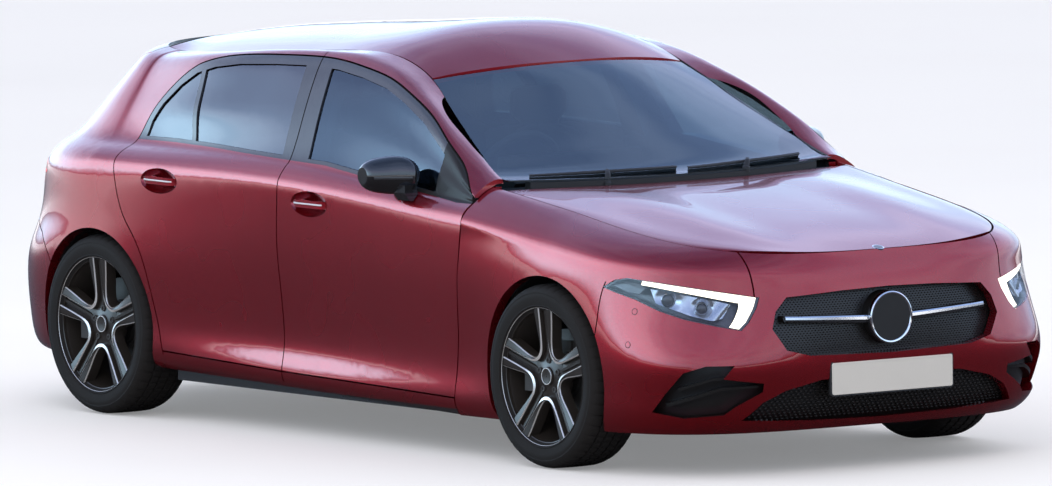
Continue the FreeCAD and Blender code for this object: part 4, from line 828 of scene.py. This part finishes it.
badge = {
    "front": 2.2018,
    "height": 0.53,
    "disc": [(0.0005, 0.0012), (0.03, 0.001), (0.06, 0.0002), (0.079, -0.002), (0.08, -0.006),
             (0.0005, -0.006)],
    "ring": [(0.0795, -0.004), (0.08, 0.003), (0.0825, 0.0062), (0.087, 0.007), (0.0905, 0.005),
             (0.0925, 0.0005), (0.093, -0.008)],
    "bonnetX": 2.134,
    "bonnetDisc": [(0.0215, -0.003), (0.0215, 0.0012), (0.0205, 0.0018), (0.018, 0.0018), (0.0172, 0.001),
                   (0.009, 0.0012), (0.0005, 0.0013)],
}


def insideOutline(y, z, outline):
    inside = False
    for (ya, za), (yb, zb) in zip(outline, outline[1:] + outline[:1]):
        if (za > z) != (zb > z) and y < (yb - ya) * (z - za) / (zb - za) + ya:
            inside = not inside
    return inside


def studField(name, spec):
    # rows of small studs in a staggered pattern, each set where a ray meets the grille
    parts = []
    pitchY, pitchZ = spec["pitch"]
    low, high = spec["depths"]
    z, row = spec["from"][1], 0
    while z < spec["to"][1]:
        y = spec["from"][0] + (pitchY / 2 if row % 2 else 0)
        while y < spec["to"][0]:
            spot, normal = hit("grilles", (2.5, y, z), (-1, 0, 0))
            inside = insideOutline(y, z, spec["outline"])
            clear = math.hypot(y, z - badge["height"]) > spec["badgeRoom"]
            if inside and clear and spot and normal[0] > spec["facing"] and low < spot[0] < high:
                points = [(spot[0] + dx, y + dy, z + dz) for dx, dy, dz in spec["shape"]]
                parts.append(((points, spec["faces"]), 0))
            y += pitchY
        z += pitchZ
        row += 1
    addPiece(name, joined(parts)[0], grilleStud, "body", smooth=False)


studField("grilleStuds", grilleStuds)

# the bars beside the badge: where they begin and end, and their upper and lower edge there
grilleBars = {"y": (0.094, 0.428), "top": (0.541, 0.5545), "low": (0.515, 0.535), "steps": 12, "split": 0.42}


def grilleBar(name, s):
    # silver blade over a black one, from the badge to the grille's side
    rings = []
    for k in range(grilleBars["steps"] + 1):
        y, top, low = (start + (stop - start) * k / grilleBars["steps"]
                       for start, stop in (grilleBars[line] for line in ("y", "top", "low")))
        x = hit("grilles", (2.5, y, (top + low) / 2), (-1, 0, 0))[0][0]
        middle = low + (top - low) * grilleBars["split"]
        section = [(-0.002, top + 0.001), (0.0025, top + 0.0005), (0.006, top - 0.004),
                   (0.0065, middle + 0.001), (0.0035, middle - 0.0005), (0.0035, low + 0.001),
                   (-0.002, low - 0.001)]
        rings.append([Vector((x + dx, s * y, z)) for dx, z in section])
    addPiece(name, bar(rings), [chrome, glossBlack], "body",
             faceFinish=lambda k: 0 if k % len(rings[0]) in (1, 2) else 1)


def badges():
    place = placement((badge["front"], 0, badge["height"]), (0, 1, 0), (0, 0, 1), (1, 0, 0))
    addPiece("badgeDisc", turnedShape(place, badge["disc"], 72), glossBlack, "body")
    addPiece("badgeRing", turnedShape(place, badge["ring"], 72), chrome, "body")
    place = standingOn(*hit("bonnet", (badge["bonnetX"], 0, 1.2), downward))
    addPiece("bonnetDisc", ringGrid(turnedRings(place, badge["bonnetDisc"], 40), capEnd=True),
             [chrome, lampDark], "bonnet", faceFinish=lambda k: 0 if k < 4 * 40 else 1)


grilleBar("grilleBarRight", -1)
grilleBar("grilleBarLeft", 1)
badges()

# front plate: width, height and corner of each outline
plate = {
    "height": 0.33,
    "holder": (0.532, 0.123, 0.01),
    "edge": (0.52, 0.111, 0.008),
    "face": (0.508, 0.099, 0.005),
    "ahead": 0.006,
    "endRoom": 0.0027,
    "triedY": (-0.26, -0.13, 0, 0.13, 0.26),
    "triedZ": (0.27, 0.3, 0.33, 0.36, 0.385),
}
sensor = {
    "places": [(0.397, 0.578), (0.372, 0.463)],
    "radius": 0.0095,
    "profile": [(1.25, -0.0015), (1.25, 0.0003), (1.08, 0.0004), (1.05, -0.0006), (1.0, -0.0004),
                (0.98, 0.0008), (0.8, 0.00092), (0.02, 0.00096)],
}


def roundedPlate(width, height, corner, steps=6):
    points = []
    for cy, cz, start in ((1, 1, 0), (-1, 1, 90), (-1, -1, 180), (1, -1, 270)):
        for k in range(steps + 1):
            a = math.radians(start + 90 * k / steps)
            points.append((cy * (width / 2 - corner) + corner * math.cos(a),
                           cz * (height / 2 - corner) + corner * math.sin(a)))
    return points


def frontPlate():
    # blank plate with a pressed edge on a black holder, just ahead of the bumper and inside the car's length
    tried = [hit(node, (2.6, y, z), (-1, 0, 0))[0] for node in ("front_bumper", "grilles")
             for y in plate["triedY"] for z in plate["triedZ"]]
    x = min(max(spot[0] for spot in tried if spot) + plate["ahead"], cadBox[1][0] - plate["endRoom"])

    def row(outline, out, shareY=1.0, shareZ=1.0):
        return [Vector((x + out, y * shareY, plate["height"] + z * shareZ))
                for y, z in roundedPlate(*plate[outline])]

    addPiece("frontPlateHolder", bar([row("holder", -0.012), row("holder", -0.002),
                                      row("holder", 0.0, 0.99, 0.99)]), matteBlack, "body")
    rows = [row("edge", 0.0002), row("edge", 0.0018), row("edge", 0.0026, 0.995, 0.98), row("face", 0.0026),
            row("face", 0.0016, 0.997, 0.985)]
    addPiece("frontPlate", ringGrid(rows, capEnd=True), plateWhite, "body")
    print("front plate at", round(x, 3), "box end", round(cadBox[1][0], 3))


def sensorDisc(name, point, s):
    # parking sensor in its seal, where a ray from the corner meets the bumper
    place = standingOn(*hit("front_bumper", mirrorPoint(cornerStart(point), s), mirrorPoint(-along, s)))
    rings = turnedRings(place, [(sensor["radius"] * share, rise) for share, rise in sensor["profile"]], 24)
    addPiece(name, ringGrid(rings, capEnd=True), [panelPaint, matteBlack], "body",
             faceFinish=lambda k: 1 if k < 4 * 24 else 0)


frontPlate()
studField("lowerMesh", lowerMesh)
for side, s in (("Right", 1), ("Left", -1)):
    for k, point in enumerate(sensor["places"]):
        sensorDisc("sensor%s%d" % (side, k), point, s)
print("nose made")

# handle inlays and mirrors
handle = {"front": (-0.034, 0.837), "rear": (-0.958, 0.863), "half": 0.085}
mirror = {
    "middle": (0.91, 0.972),
    "half": (0.07, 0.048),
    "behind": 0.003,
    "profile": [(1.06, 0.02), (1.06, -0.001), (1.03, -0.0035), (1.0, -0.003), (0.985, 0.002)],
    "squareness": 0.75,
    "indicator": (0.872, 0.98, 0.966),
}


def lineOf(start, end, steps):
    return [Vector(start).lerp(Vector(end), k / steps) for k in range(steps + 1)]


def stripOn(name, nodeName, path, direction, halfWidth, rise, finish, body):
    # thin bead laid on a panel along a path of ray origins
    section = [(-1, -0.0012), (-1, rise * 0.4), (-0.6, rise), (0.6, rise), (1, rise * 0.4), (1, -0.0012)]
    rings = []
    for spot, normal in (hit(nodeName, p, direction) for p in path):
        if spot:
            up = (Vector((0, 0, 1)) - normal * normal[2]).normalized()
            rings.append([spot + up * (halfWidth * w) + normal * h for w, h in section])
    addPiece(name, bar(rings), finish, body)


def handleInlay(end, side, s):
    door = end + "_door_" + side
    x, z = handle[end]
    path = lineOf((x - handle["half"], s * 1.3, z), (x + handle["half"], s * 1.3, z), 20)
    stripOn("handleInlay_" + end + "_" + side, door, path, (0, -s, 0), 0.0028, 0.0012, turnedMetal, door)


def mirrorPieces(side, s):
    # glass in its frame behind the mirror's shell, and the indicator across its front
    node, door = "mirror_" + side, "front_door_" + side
    y, z = s * mirror["middle"][0], mirror["middle"][1]
    x = hit(node, (-0.6, y, z), forward)[0][0] + mirror["behind"]

    def squared(value):
        return math.copysign(abs(value) ** mirror["squareness"], value)

    halfY, halfZ = mirror["half"]
    rings = [[Vector((x + out, y + halfY * share * squared(math.cos(a)),
                      z + halfZ * share * squared(math.sin(a)))) for a in around(48)]
             for share, out in mirror["profile"]]
    addPiece("mirrorGlass_" + side, ringGrid(rings, capEnd=True), [glossBlack, mirrorGlass], door,
             faceFinish=lambda k: 1 if k == 4 * 48 else 0)
    inner, outer, height = mirror["indicator"]
    path = lineOf((1.2, s * inner, height), (1.2, s * outer, height), 16)
    stripOn("mirrorIndicator_" + side, node, path, (-1, 0, 0), 0.0045, 0.001, lampDark, door)


for side, s in sides.items():
    for end in ("front", "rear"):
        handleInlay(end, side, s)
for side, s in sides.items():
    mirrorPieces(side, s)

# wipers: the blade's section is across it, up from the glass, and how much more at its middle
wipers = {
    "blade": [(-0.0012, 0.0008, 0), (-0.0012, 0.007, 0), (-0.0065, 0.008, 0), (-0.0052, 0.008, 0.003),
              (0.0, 0.008, 0.005), (0.0052, 0.008, 0.003), (0.0065, 0.008, 0), (0.0012, 0.007, 0),
              (0.0012, 0.0008, 0)],
    "arm": [(-1, -0.004), (-1, 0.002), (-0.6, 0.005), (0.6, 0.005), (1, 0.002), (1, -0.004)],
    "armHalf": (0.011, 0.005),
    "cap": [(0.014, -0.014), (0.014, 0.004), (0.011, 0.008), (0.001, 0.009)],
    "screenFoot": 0.92,
    "screenBow": 0.124,
    "screenHalf": 0.7,
    "fromFoot": 0.05,
}


def lineAxes(points, k, normal):
    # along a line at one of its points, and across it
    ahead = (points[min(k + 1, len(points) - 1)] - points[max(k - 1, 0)]).normalized()
    return ahead, ahead.cross(normal).normalized()


def wiper(name, nodeName, path, direction, body, pivot, height):
    # rubber blade on the glass with its spine, the arm from its pivot, and the pivot's cap
    spots = [found for found in (hit(nodeName, p, direction) for p in path) if found[0]]
    line = [spot for spot, _ in spots]
    blade = []
    for k, (spot, normal) in enumerate(spots):
        _, aside = lineAxes(line, k, normal)
        taper = 0.35 + 0.65 * math.sin(math.pi * (k + 0.5) / len(spots))
        blade.append([spot + aside * w + normal * (h + more * taper) for w, h, more in wipers["blade"]])
    middle, normal = spots[len(spots) // 2]
    pivot = Vector(pivot)
    reach = curveThrough([pivot, pivot.lerp(middle, 0.35) + normal * height,
                          pivot.lerp(middle, 0.8) + normal * height * 0.9, middle + normal * 0.012], 5)
    first, last = wipers["armHalf"]
    arm = []
    for k, p in enumerate(reach):
        ahead, aside = lineAxes(reach, k, normal)
        up = aside.cross(ahead).normalized()
        half = first + (last - first) * k / (len(reach) - 1)
        arm.append([p + aside * (half * w) + up * h for w, h in wipers["arm"]])
    cap = ringGrid(turnedRings(Matrix.Translation(pivot), wipers["cap"], 20), capEnd=True)
    addPiece(name, joined([(bar(blade), 0), (bar(arm), 0), (cap, 0)])[0], matteBlack, body)


def frontWiper(name, startY, endY, climb, pivotX, pivotY):
    path = []
    for k in range(25):
        y = startY + (endY - startY) * k / 24
        bow = wipers["screenBow"] * (1 - (y / wipers["screenHalf"]) ** 2)
        path.append((wipers["screenFoot"] + bow - wipers["fromFoot"] - climb * k / 24, y, 2.0))
    cowl, _ = hit("cowl", (pivotX, pivotY, 2.0), downward)
    wiper(name, "windscreen", path, downward, "body", cowl + Vector((0, 0, 0.006)), 0.02)


frontWiper("wiperRight", -0.6, -0.02, 0.015, 1.01, -0.34)
frontWiper("wiperLeft", 0.02, 0.58, 0.02, 1.012, 0.26)
pivot, normal = hit("tailgate", (-2.6, 0.04, 0.985), forward)
wiper("rearWiper", "tailgate_glass", lineOf((-2.6, -0.3, 1.052), (-2.6, 0.04, 1.056), 16), forward,
      "tailgate", pivot + normal * 0.004, 0.012)
print("wipers made")

# tail lamps: where each lamp's light guides begin and end, and the place and size of each guide
tailLamps = [("tail_lamps", "body", 0.665, 0.8), ("tailgate_lamps", "tailgate", 0.385, 0.575)]
guides = [
    {"name": "Upper", "inset": 0.0, "height": 0.868, "bow": 0.01, "waves": 3, "half": 0.005, "rise": 0.0008},
    {"name": "Lower", "inset": 0.02, "height": 0.838, "bow": 0.004, "waves": 2, "half": 0.006,
     "rise": 0.0007},
]
for side, s in sides.items():
    for node, body, low, high in tailLamps:
        for guide in guides:
            start = low + guide["inset"]
            path = [(-2.7, s * (start + (high - start) * k / 14),
                     guide["height"] + guide["bow"] * math.sin(guide["waves"] * k / 14)) for k in range(15)]
            stripOn("%sGuide%s_%s" % (body, guide["name"], side), node, path, forward, guide["half"],
                    guide["rise"], tailGlow, body)
    path = lineOf((-2.7, s * 0.47, 0.812), (-2.7, s * 0.56, 0.812), 8)
    stripOn("reversingLamp_" + side, "tailgate_lamps", path, forward, 0.007, 0.0007, tailClear, "tailgate")
print("tail lamps made")

# seats: outlines of (x, z) points; the numbers after a part's outline are its half width and drawn-in ends
seat = {
    "middles": (-0.37, 0.37),
    "cushion": [(0.3, 0.345), (0.322, 0.425), (0.285, 0.485), (0.18, 0.492), (0.0, 0.466), (-0.175, 0.452),
                (-0.205, 0.35), (0.05, 0.335)],
    "back": [(-0.165, 0.45), (-0.222, 0.7), (-0.33, 1.01), (-0.375, 1.03), (-0.402, 0.985), (-0.33, 0.7),
             (-0.262, 0.43), (-0.205, 0.395)],
    "rest": [(-0.366, 1.062), (-0.358, 1.11), (-0.362, 1.172), (-0.4, 1.188), (-0.42, 1.165), (-0.42, 1.075)],
    "bolster": [(0.27, 0.38), (0.3, 0.455), (0.24, 0.52), (0.05, 0.51), (-0.14, 0.48), (-0.15, 0.4)],
    "wing": [(-0.13, 0.52), (-0.175, 0.7), (-0.25, 0.9), (-0.3, 0.9), (-0.29, 0.7), (-0.215, 0.52)],
    "runner": [(0.24, 0.3), (0.24, 0.355), (-0.18, 0.355), (-0.26, 0.42), (-0.3, 0.4), (-0.22, 0.3)],
    "shell": [(-0.275, 0.42), (-0.345, 0.7), (-0.412, 0.985), (-0.398, 0.995), (-0.328, 0.7), (-0.258, 0.43)],
    "rods": ((-0.055, 0.055), (-0.372, 1.0), (-0.388, 1.085)),
}
bench = {
    "restMiddles": (-0.39, 0.0, 0.39),
    "cushion": [(-0.665, 0.35), (-0.65, 0.418), (-0.7, 0.478), (-0.86, 0.48), (-1.04, 0.462), (-1.08, 0.4),
                (-1.05, 0.35), (-0.85, 0.345)],
    "back": [(-1.075, 0.47), (-1.15, 0.72), (-1.225, 0.925), (-1.29, 0.948), (-1.312, 0.915), (-1.23, 0.65),
             (-1.16, 0.4), (-1.1, 0.4)],
    "rest": [(-1.262, 0.985), (-1.25, 1.05), (-1.262, 1.105), (-1.3, 1.115), (-1.322, 1.09), (-1.32, 0.992)],
    "shell": [(-1.185, 0.4), (-1.25, 0.65), (-1.328, 0.92), (-1.318, 0.928), (-1.238, 0.65), (-1.172, 0.4)],
    "rods": ((-0.045, 0.045), (-1.275, 0.93), (-1.288, 1.01)),
}
stuffing = {"voxel": 0.016, "bulge": 0.024, "pressure": 4.0, "frames": 20}


def roundedPrism(outline, yLow, yHigh, inset):
    # the outline, rounded, swept across the car with drawn-in ends
    line = curveThrough(outline + outline[:1], 5)[:-1]
    cx, cz = (sum(p[i] for p in line) / len(line) for i in (0, 1))
    rings = []
    for share, drawn in ((0.0, 1.0), (0.04, 0.45), (0.1, 0.12), (0.2, 0.0), (0.5, 0.0), (0.8, 0.0),
                         (0.9, 0.12), (0.96, 0.45), (1.0, 1.0)):
        y = yLow + (yHigh - yLow) * share
        rings.append([Vector((p[0] + (cx - p[0]) * inset * drawn, y, p[1] + (cz - p[1]) * inset * drawn))
                      for p in line])
    return bar(rings)


def evaluated(piece):
    return piece.evaluated_get(bpy.context.evaluated_depsgraph_get())


def stuffed(name, parts, node):
    # padded piece from rounded prisms, blown up a little by a cloth run
    piece = addPiece(name, joined([(roundedPrism(*part), 0) for part in parts])[0], seatCloth, "body")
    remesh = piece.modifiers.new("remesh", "REMESH")
    remesh.mode = "VOXEL"
    remesh.voxel_size = stuffing["voxel"]
    remesh.use_smooth_shade = True
    bpy.context.view_layer.update()
    solid = bpy.data.meshes.new_from_object(evaluated(piece))
    piece.modifiers.clear()
    piece.data = solid
    solid.materials.clear()
    solid.materials.append(seatCloth)
    solid.polygons.foreach_set("use_smooth", [True] * len(solid.polygons))
    before = [v.co.copy() for v in solid.vertices]
    cloth = piece.modifiers.new("cloth", "CLOTH")
    cloth.settings.use_pressure = True
    cloth.settings.uniform_pressure_force = stuffing["pressure"]
    cloth.settings.quality = 4
    cloth.settings.effector_weights.gravity = 0.0
    cloth.collision_settings.use_self_collision = False
    cloth.point_cache.frame_start = 1
    cloth.point_cache.frame_end = stuffing["frames"]
    for number in range(1, stuffing["frames"] + 1):
        bpy.context.scene.frame_set(number)
    after = [v.co.copy() for v in evaluated(piece).data.vertices]
    piece.modifiers.clear()
    bpy.context.scene.frame_set(1)
    for vertex, start, end in zip(solid.vertices, before, after):
        move = end - start
        if move.length > stuffing["bulge"]:
            move *= stuffing["bulge"] / move.length
        vertex.co = start + move
    smooth = piece.modifiers.new("smooth", "SUBSURF")
    smooth.levels = 1
    smooth.render_levels = 1
    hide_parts(node)


def centred(outline, middle, half, inset):
    return outline, middle - half, middle + half, inset


def headRestRods(middle, rods):
    # two rods, each through a lower and an upper (x, z) point
    gaps, *ends = rods
    return [(bar([[Vector((x + 0.006 * math.cos(a), middle + gap + 0.006 * math.sin(a), z))
                   for a in around(10)] for x, z in ends]), 1) for gap in gaps]


def makeSeats():
    frontParts, rearParts = [], []
    for middle in seat["middles"]:
        frontParts += [centred(seat["cushion"], middle, 0.175, 0.1),
                       centred(seat["back"], middle, 0.165, 0.1), centred(seat["rest"], middle, 0.115, 0.3)]
        for s in (-1, 1):
            frontParts += [centred(seat[part], middle + s * 0.194, 0.044, 0.22)
                           for part in ("bolster", "wing")]
    for part in ("cushion", "back"):
        rearParts += [(bench[part], -0.595, -0.008, 0.1), (bench[part], 0.008, 0.595, 0.1)]
    rearParts += [centred(bench["rest"], middle, 0.105, 0.3) for middle in bench["restMiddles"]]
    stuffed("frontSeats", frontParts, "front_seats")
    stuffed("rearSeat", rearParts, "rear_seat")


def seatFrames():
    # rods of the head rests, runners and the shells behind the cushions
    parts = []
    for middle in seat["middles"]:
        parts += headRestRods(middle, seat["rods"])
        parts += [(roundedPrism(*centred(seat["runner"], middle + dy, 0.014, 0.15)), 0)
                  for dy in (-0.205, 0.205)]
        parts.append((roundedPrism(*centred(seat["shell"], middle, 0.215, 0.06)), 0))
    for middle in bench["restMiddles"]:
        parts += headRestRods(middle, bench["rods"])
    parts.append((roundedPrism(*centred(bench["shell"], 0.0, 0.59, 0.03)), 0))
    shape, finish = joined(parts)
    addPiece("seatFrames", shape, [dashPlastic, chrome], "body", faceFinish=finish)


makeSeats()
seatFrames()
print("seats made")

# dashboard fittings
dash = {
    "display": (0.6, -0.2, 0.965),
    "displaySize": (0.62, 0.105, 0.01),
    "displayRows": [(0.0, 1.0), (0.012, 1.0), (0.014, 0.985), (0.0125, 0.97)],
    "lean": (0.94, 0.34),
    "vents": [(0.566, y, 0.875) for y in (-0.62, -0.05, 0.05, 0.15, 0.62)],
    "vent": [(0.046, 0.03), (0.046, -0.004), (0.042, -0.006), (0.038, 0.0), (0.01, 0.01), (0.001, 0.01)],
}


def dashFittings():
    x, middle, height = dash["display"]
    back, rise = dash["lean"]
    display = [[Vector((x - out * back, middle + y * share, height + z * share + out * rise))
                for y, z in roundedPlate(*dash["displaySize"])] for out, share in dash["displayRows"]]
    addPiece("dashDisplay", bar(display), glossBlack, "body")
    vents = [ringGrid(turnedRings(placement(spot, (0, 1, 0), (0, 0, 1), (1, 0, 0)), dash["vent"], 24),
                      capEnd=True) for spot in dash["vents"]]
    addPiece("dashVents", joined([(vent, 0) for vent in vents])[0], lampSilver, "body")


dashFittings()
print("cabin made")

# floor, sky and lamps of the studio: a lamp is its place, aim, size, power and colour
studio = {
    "reach": 220,
    "floor": (0.8, 0.79, 0.79, 1),
    "floorDark": (0.74, 0.73, 0.73, 1),
    "floorSeen": 0.22,
    # painted reflection: the floor's dark colour as glossy rays see it, and a painted glare far off
    "floorMirrored": (0.045, 0.035, 0.035, 1),
    "glare": (11.0, 30.0, 1.5),
    "sky": [(0.0, (0.05, 0.045, 0.05)), (0.5, (0.05, 0.045, 0.05)), (0.506, (0.2, 0.22, 0.27)),
            (0.525, (0.56, 0.72, 0.92)), (0.6, (0.58, 0.74, 0.94)), (0.7, (0.56, 0.62, 0.9)),
            (0.8, (0.34, 0.44, 0.7)), (1.0, (0.12, 0.19, 0.36))],
    "cloud": (0.66, 0.72, 0.8, 1),
    "cloudShares": (0.38, 0.66),
    "cloudStretch": (1.6, 1.6, 7.0),
    "skyStrength": 2.0,
    "glow": (2.2, 3.4, 4.2, 1),
    "glowFrom": (-0.75, -0.66, 0.0),
    "glowHeight": [(0.0, 0.0), (0.498, 0.0), (0.518, 1.0), (0.62, 0.8), (0.74, 0.0)],
    "soft": (0.84, 0.84, 0.88, 1),
    "seen": (0.9, 0.9, 0.92, 1),
    "lamps": [((7.0, -7.5, 6.5), (0.3, 0.0, 0.5), 6.0, 240.0, (1.0, 0.97, 0.93)),
              ((-6.5, -6.0, 5.5), (-0.8, 0.0, 0.6), 5.0, 150.0, (0.9, 0.94, 1.0)),
              ((2.0, 7.0, 6.0), (0.0, 0.0, 0.8), 6.0, 110.0, (1.0, 0.98, 0.96))],
}


def makeFloor(spec):
    far = spec["reach"]
    mesh = bpy.data.meshes.new("floor")
    mesh.from_pydata([(-far, -far, 0), (far, -far, 0), (far, far, 0), (-far, far, 0)], [], [(0, 1, 2, 3)])
    material, tree, shader = startMaterial("floorPaint")
    place = addNode(tree, "TexCoord").outputs["Object"]
    noise = addNode(tree, "TexNoise", {"Scale": 0.6, "Vector": place}).outputs[0]
    path = addNode(tree, "LightPath").outputs
    color = mixColors(tree, noise, spec["floor"], spec["floorDark"])
    away = addNode(tree, "VectorMath", {0: place}, operation="LENGTH").outputs["Value"]
    # painted reflection: glossy rays see the floor dark near the car and glowing far off, while the camera
    # sees it plain and pale
    low, high, strength = spec["glare"]
    glare = times(tree, path["Is Glossy Ray"], times(tree, softStep(tree, away, low, high), strength))
    seen = times(tree, path["Is Camera Ray"], spec["floorSeen"])
    mirrored = mixColors(tree, path["Is Glossy Ray"], color, spec["floorMirrored"])
    setInputs(tree, shader, {"Base Color": mirrored, "Roughness": 0.85, "Emission Color": (0.97, 0.98, 1, 1),
                             "Emission Strength": plus(tree, seen, glare)})
    mesh.materials.append(material)
    floor = bpy.data.objects.new("floor", mesh)
    bpy.context.collection.objects.link(floor)


def addRamp(tree, share, stops):
    ramp = addNode(tree, "ValToRGB", {0: share})
    elements = ramp.color_ramp.elements
    while len(elements) < len(stops):
        elements.new(0.5)
    for element, (spot, color) in zip(elements, stops):
        element.position = spot
        element.color = (*color, 1)
    return ramp.outputs[0]


def makeSky(spec):
    # bands of sky with long clouds and a bright side, as reflections see it, and plainer for light and camera
    world = bpy.data.worlds.new("sky")
    bpy.context.scene.world = world
    world.use_nodes = True
    tree = world.node_tree
    place = addNode(tree, "TexCoord").outputs["Generated"]
    height = softStep(tree, addNode(tree, "SeparateXYZ", {0: place}).outputs[2], -1, 1)
    bands = addRamp(tree, height, spec["sky"])
    stretched = addNode(tree, "Mapping", {"Scale": spec["cloudStretch"], "Vector": place}).outputs[0]
    clouds = addNode(tree, "TexNoise", {"Scale": 1.8, "Detail": 1.5, "Vector": stretched}).outputs[0]
    cloudy = mixColors(tree, softStep(tree, clouds, *spec["cloudShares"]), bands, spec["cloud"], "MULTIPLY")
    strong = mixColors(tree, 1.0, cloudy, (spec["skyStrength"],) * 3 + (1.0,), "MULTIPLY")
    toward = addNode(tree, "VectorMath", {0: place, 1: spec["glowFrom"]},
                     operation="DOT_PRODUCT").outputs["Value"]
    near = mathNode(tree, "POWER", mathNode(tree, "MAXIMUM", toward, 0.0), 1.6)
    glowBands = addRamp(tree, height, [(spot, (value,) * 3) for spot, value in spec["glowHeight"]])
    glowing = mixColors(tree, times(tree, near, glowBands), strong, spec["glow"], "ADD")
    path = addNode(tree, "LightPath").outputs
    lit = mixColors(tree, path["Is Glossy Ray"], spec["soft"], glowing)
    tree.links.new(mixColors(tree, path["Is Camera Ray"], lit, spec["seen"]),
                   tree.nodes["Background"].inputs[0])


def makeLamp(spot, aim, size, power, color):
    data = bpy.data.lights.new("softLamp", "AREA")
    data.size = size
    data.energy = power
    data.color = color
    lamp = bpy.data.objects.new("softLamp", data)
    lamp.location = spot
    lamp.visible_glossy = False
    lamp.rotation_euler = (Vector(aim) - Vector(spot)).to_track_quat("-Z", "Y").to_euler()
    bpy.context.collection.objects.link(lamp)


makeFloor(studio)
makeSky(studio)
for values in studio["lamps"]:
    makeLamp(*values)
bpy.context.scene.view_settings.view_transform = "Standard"
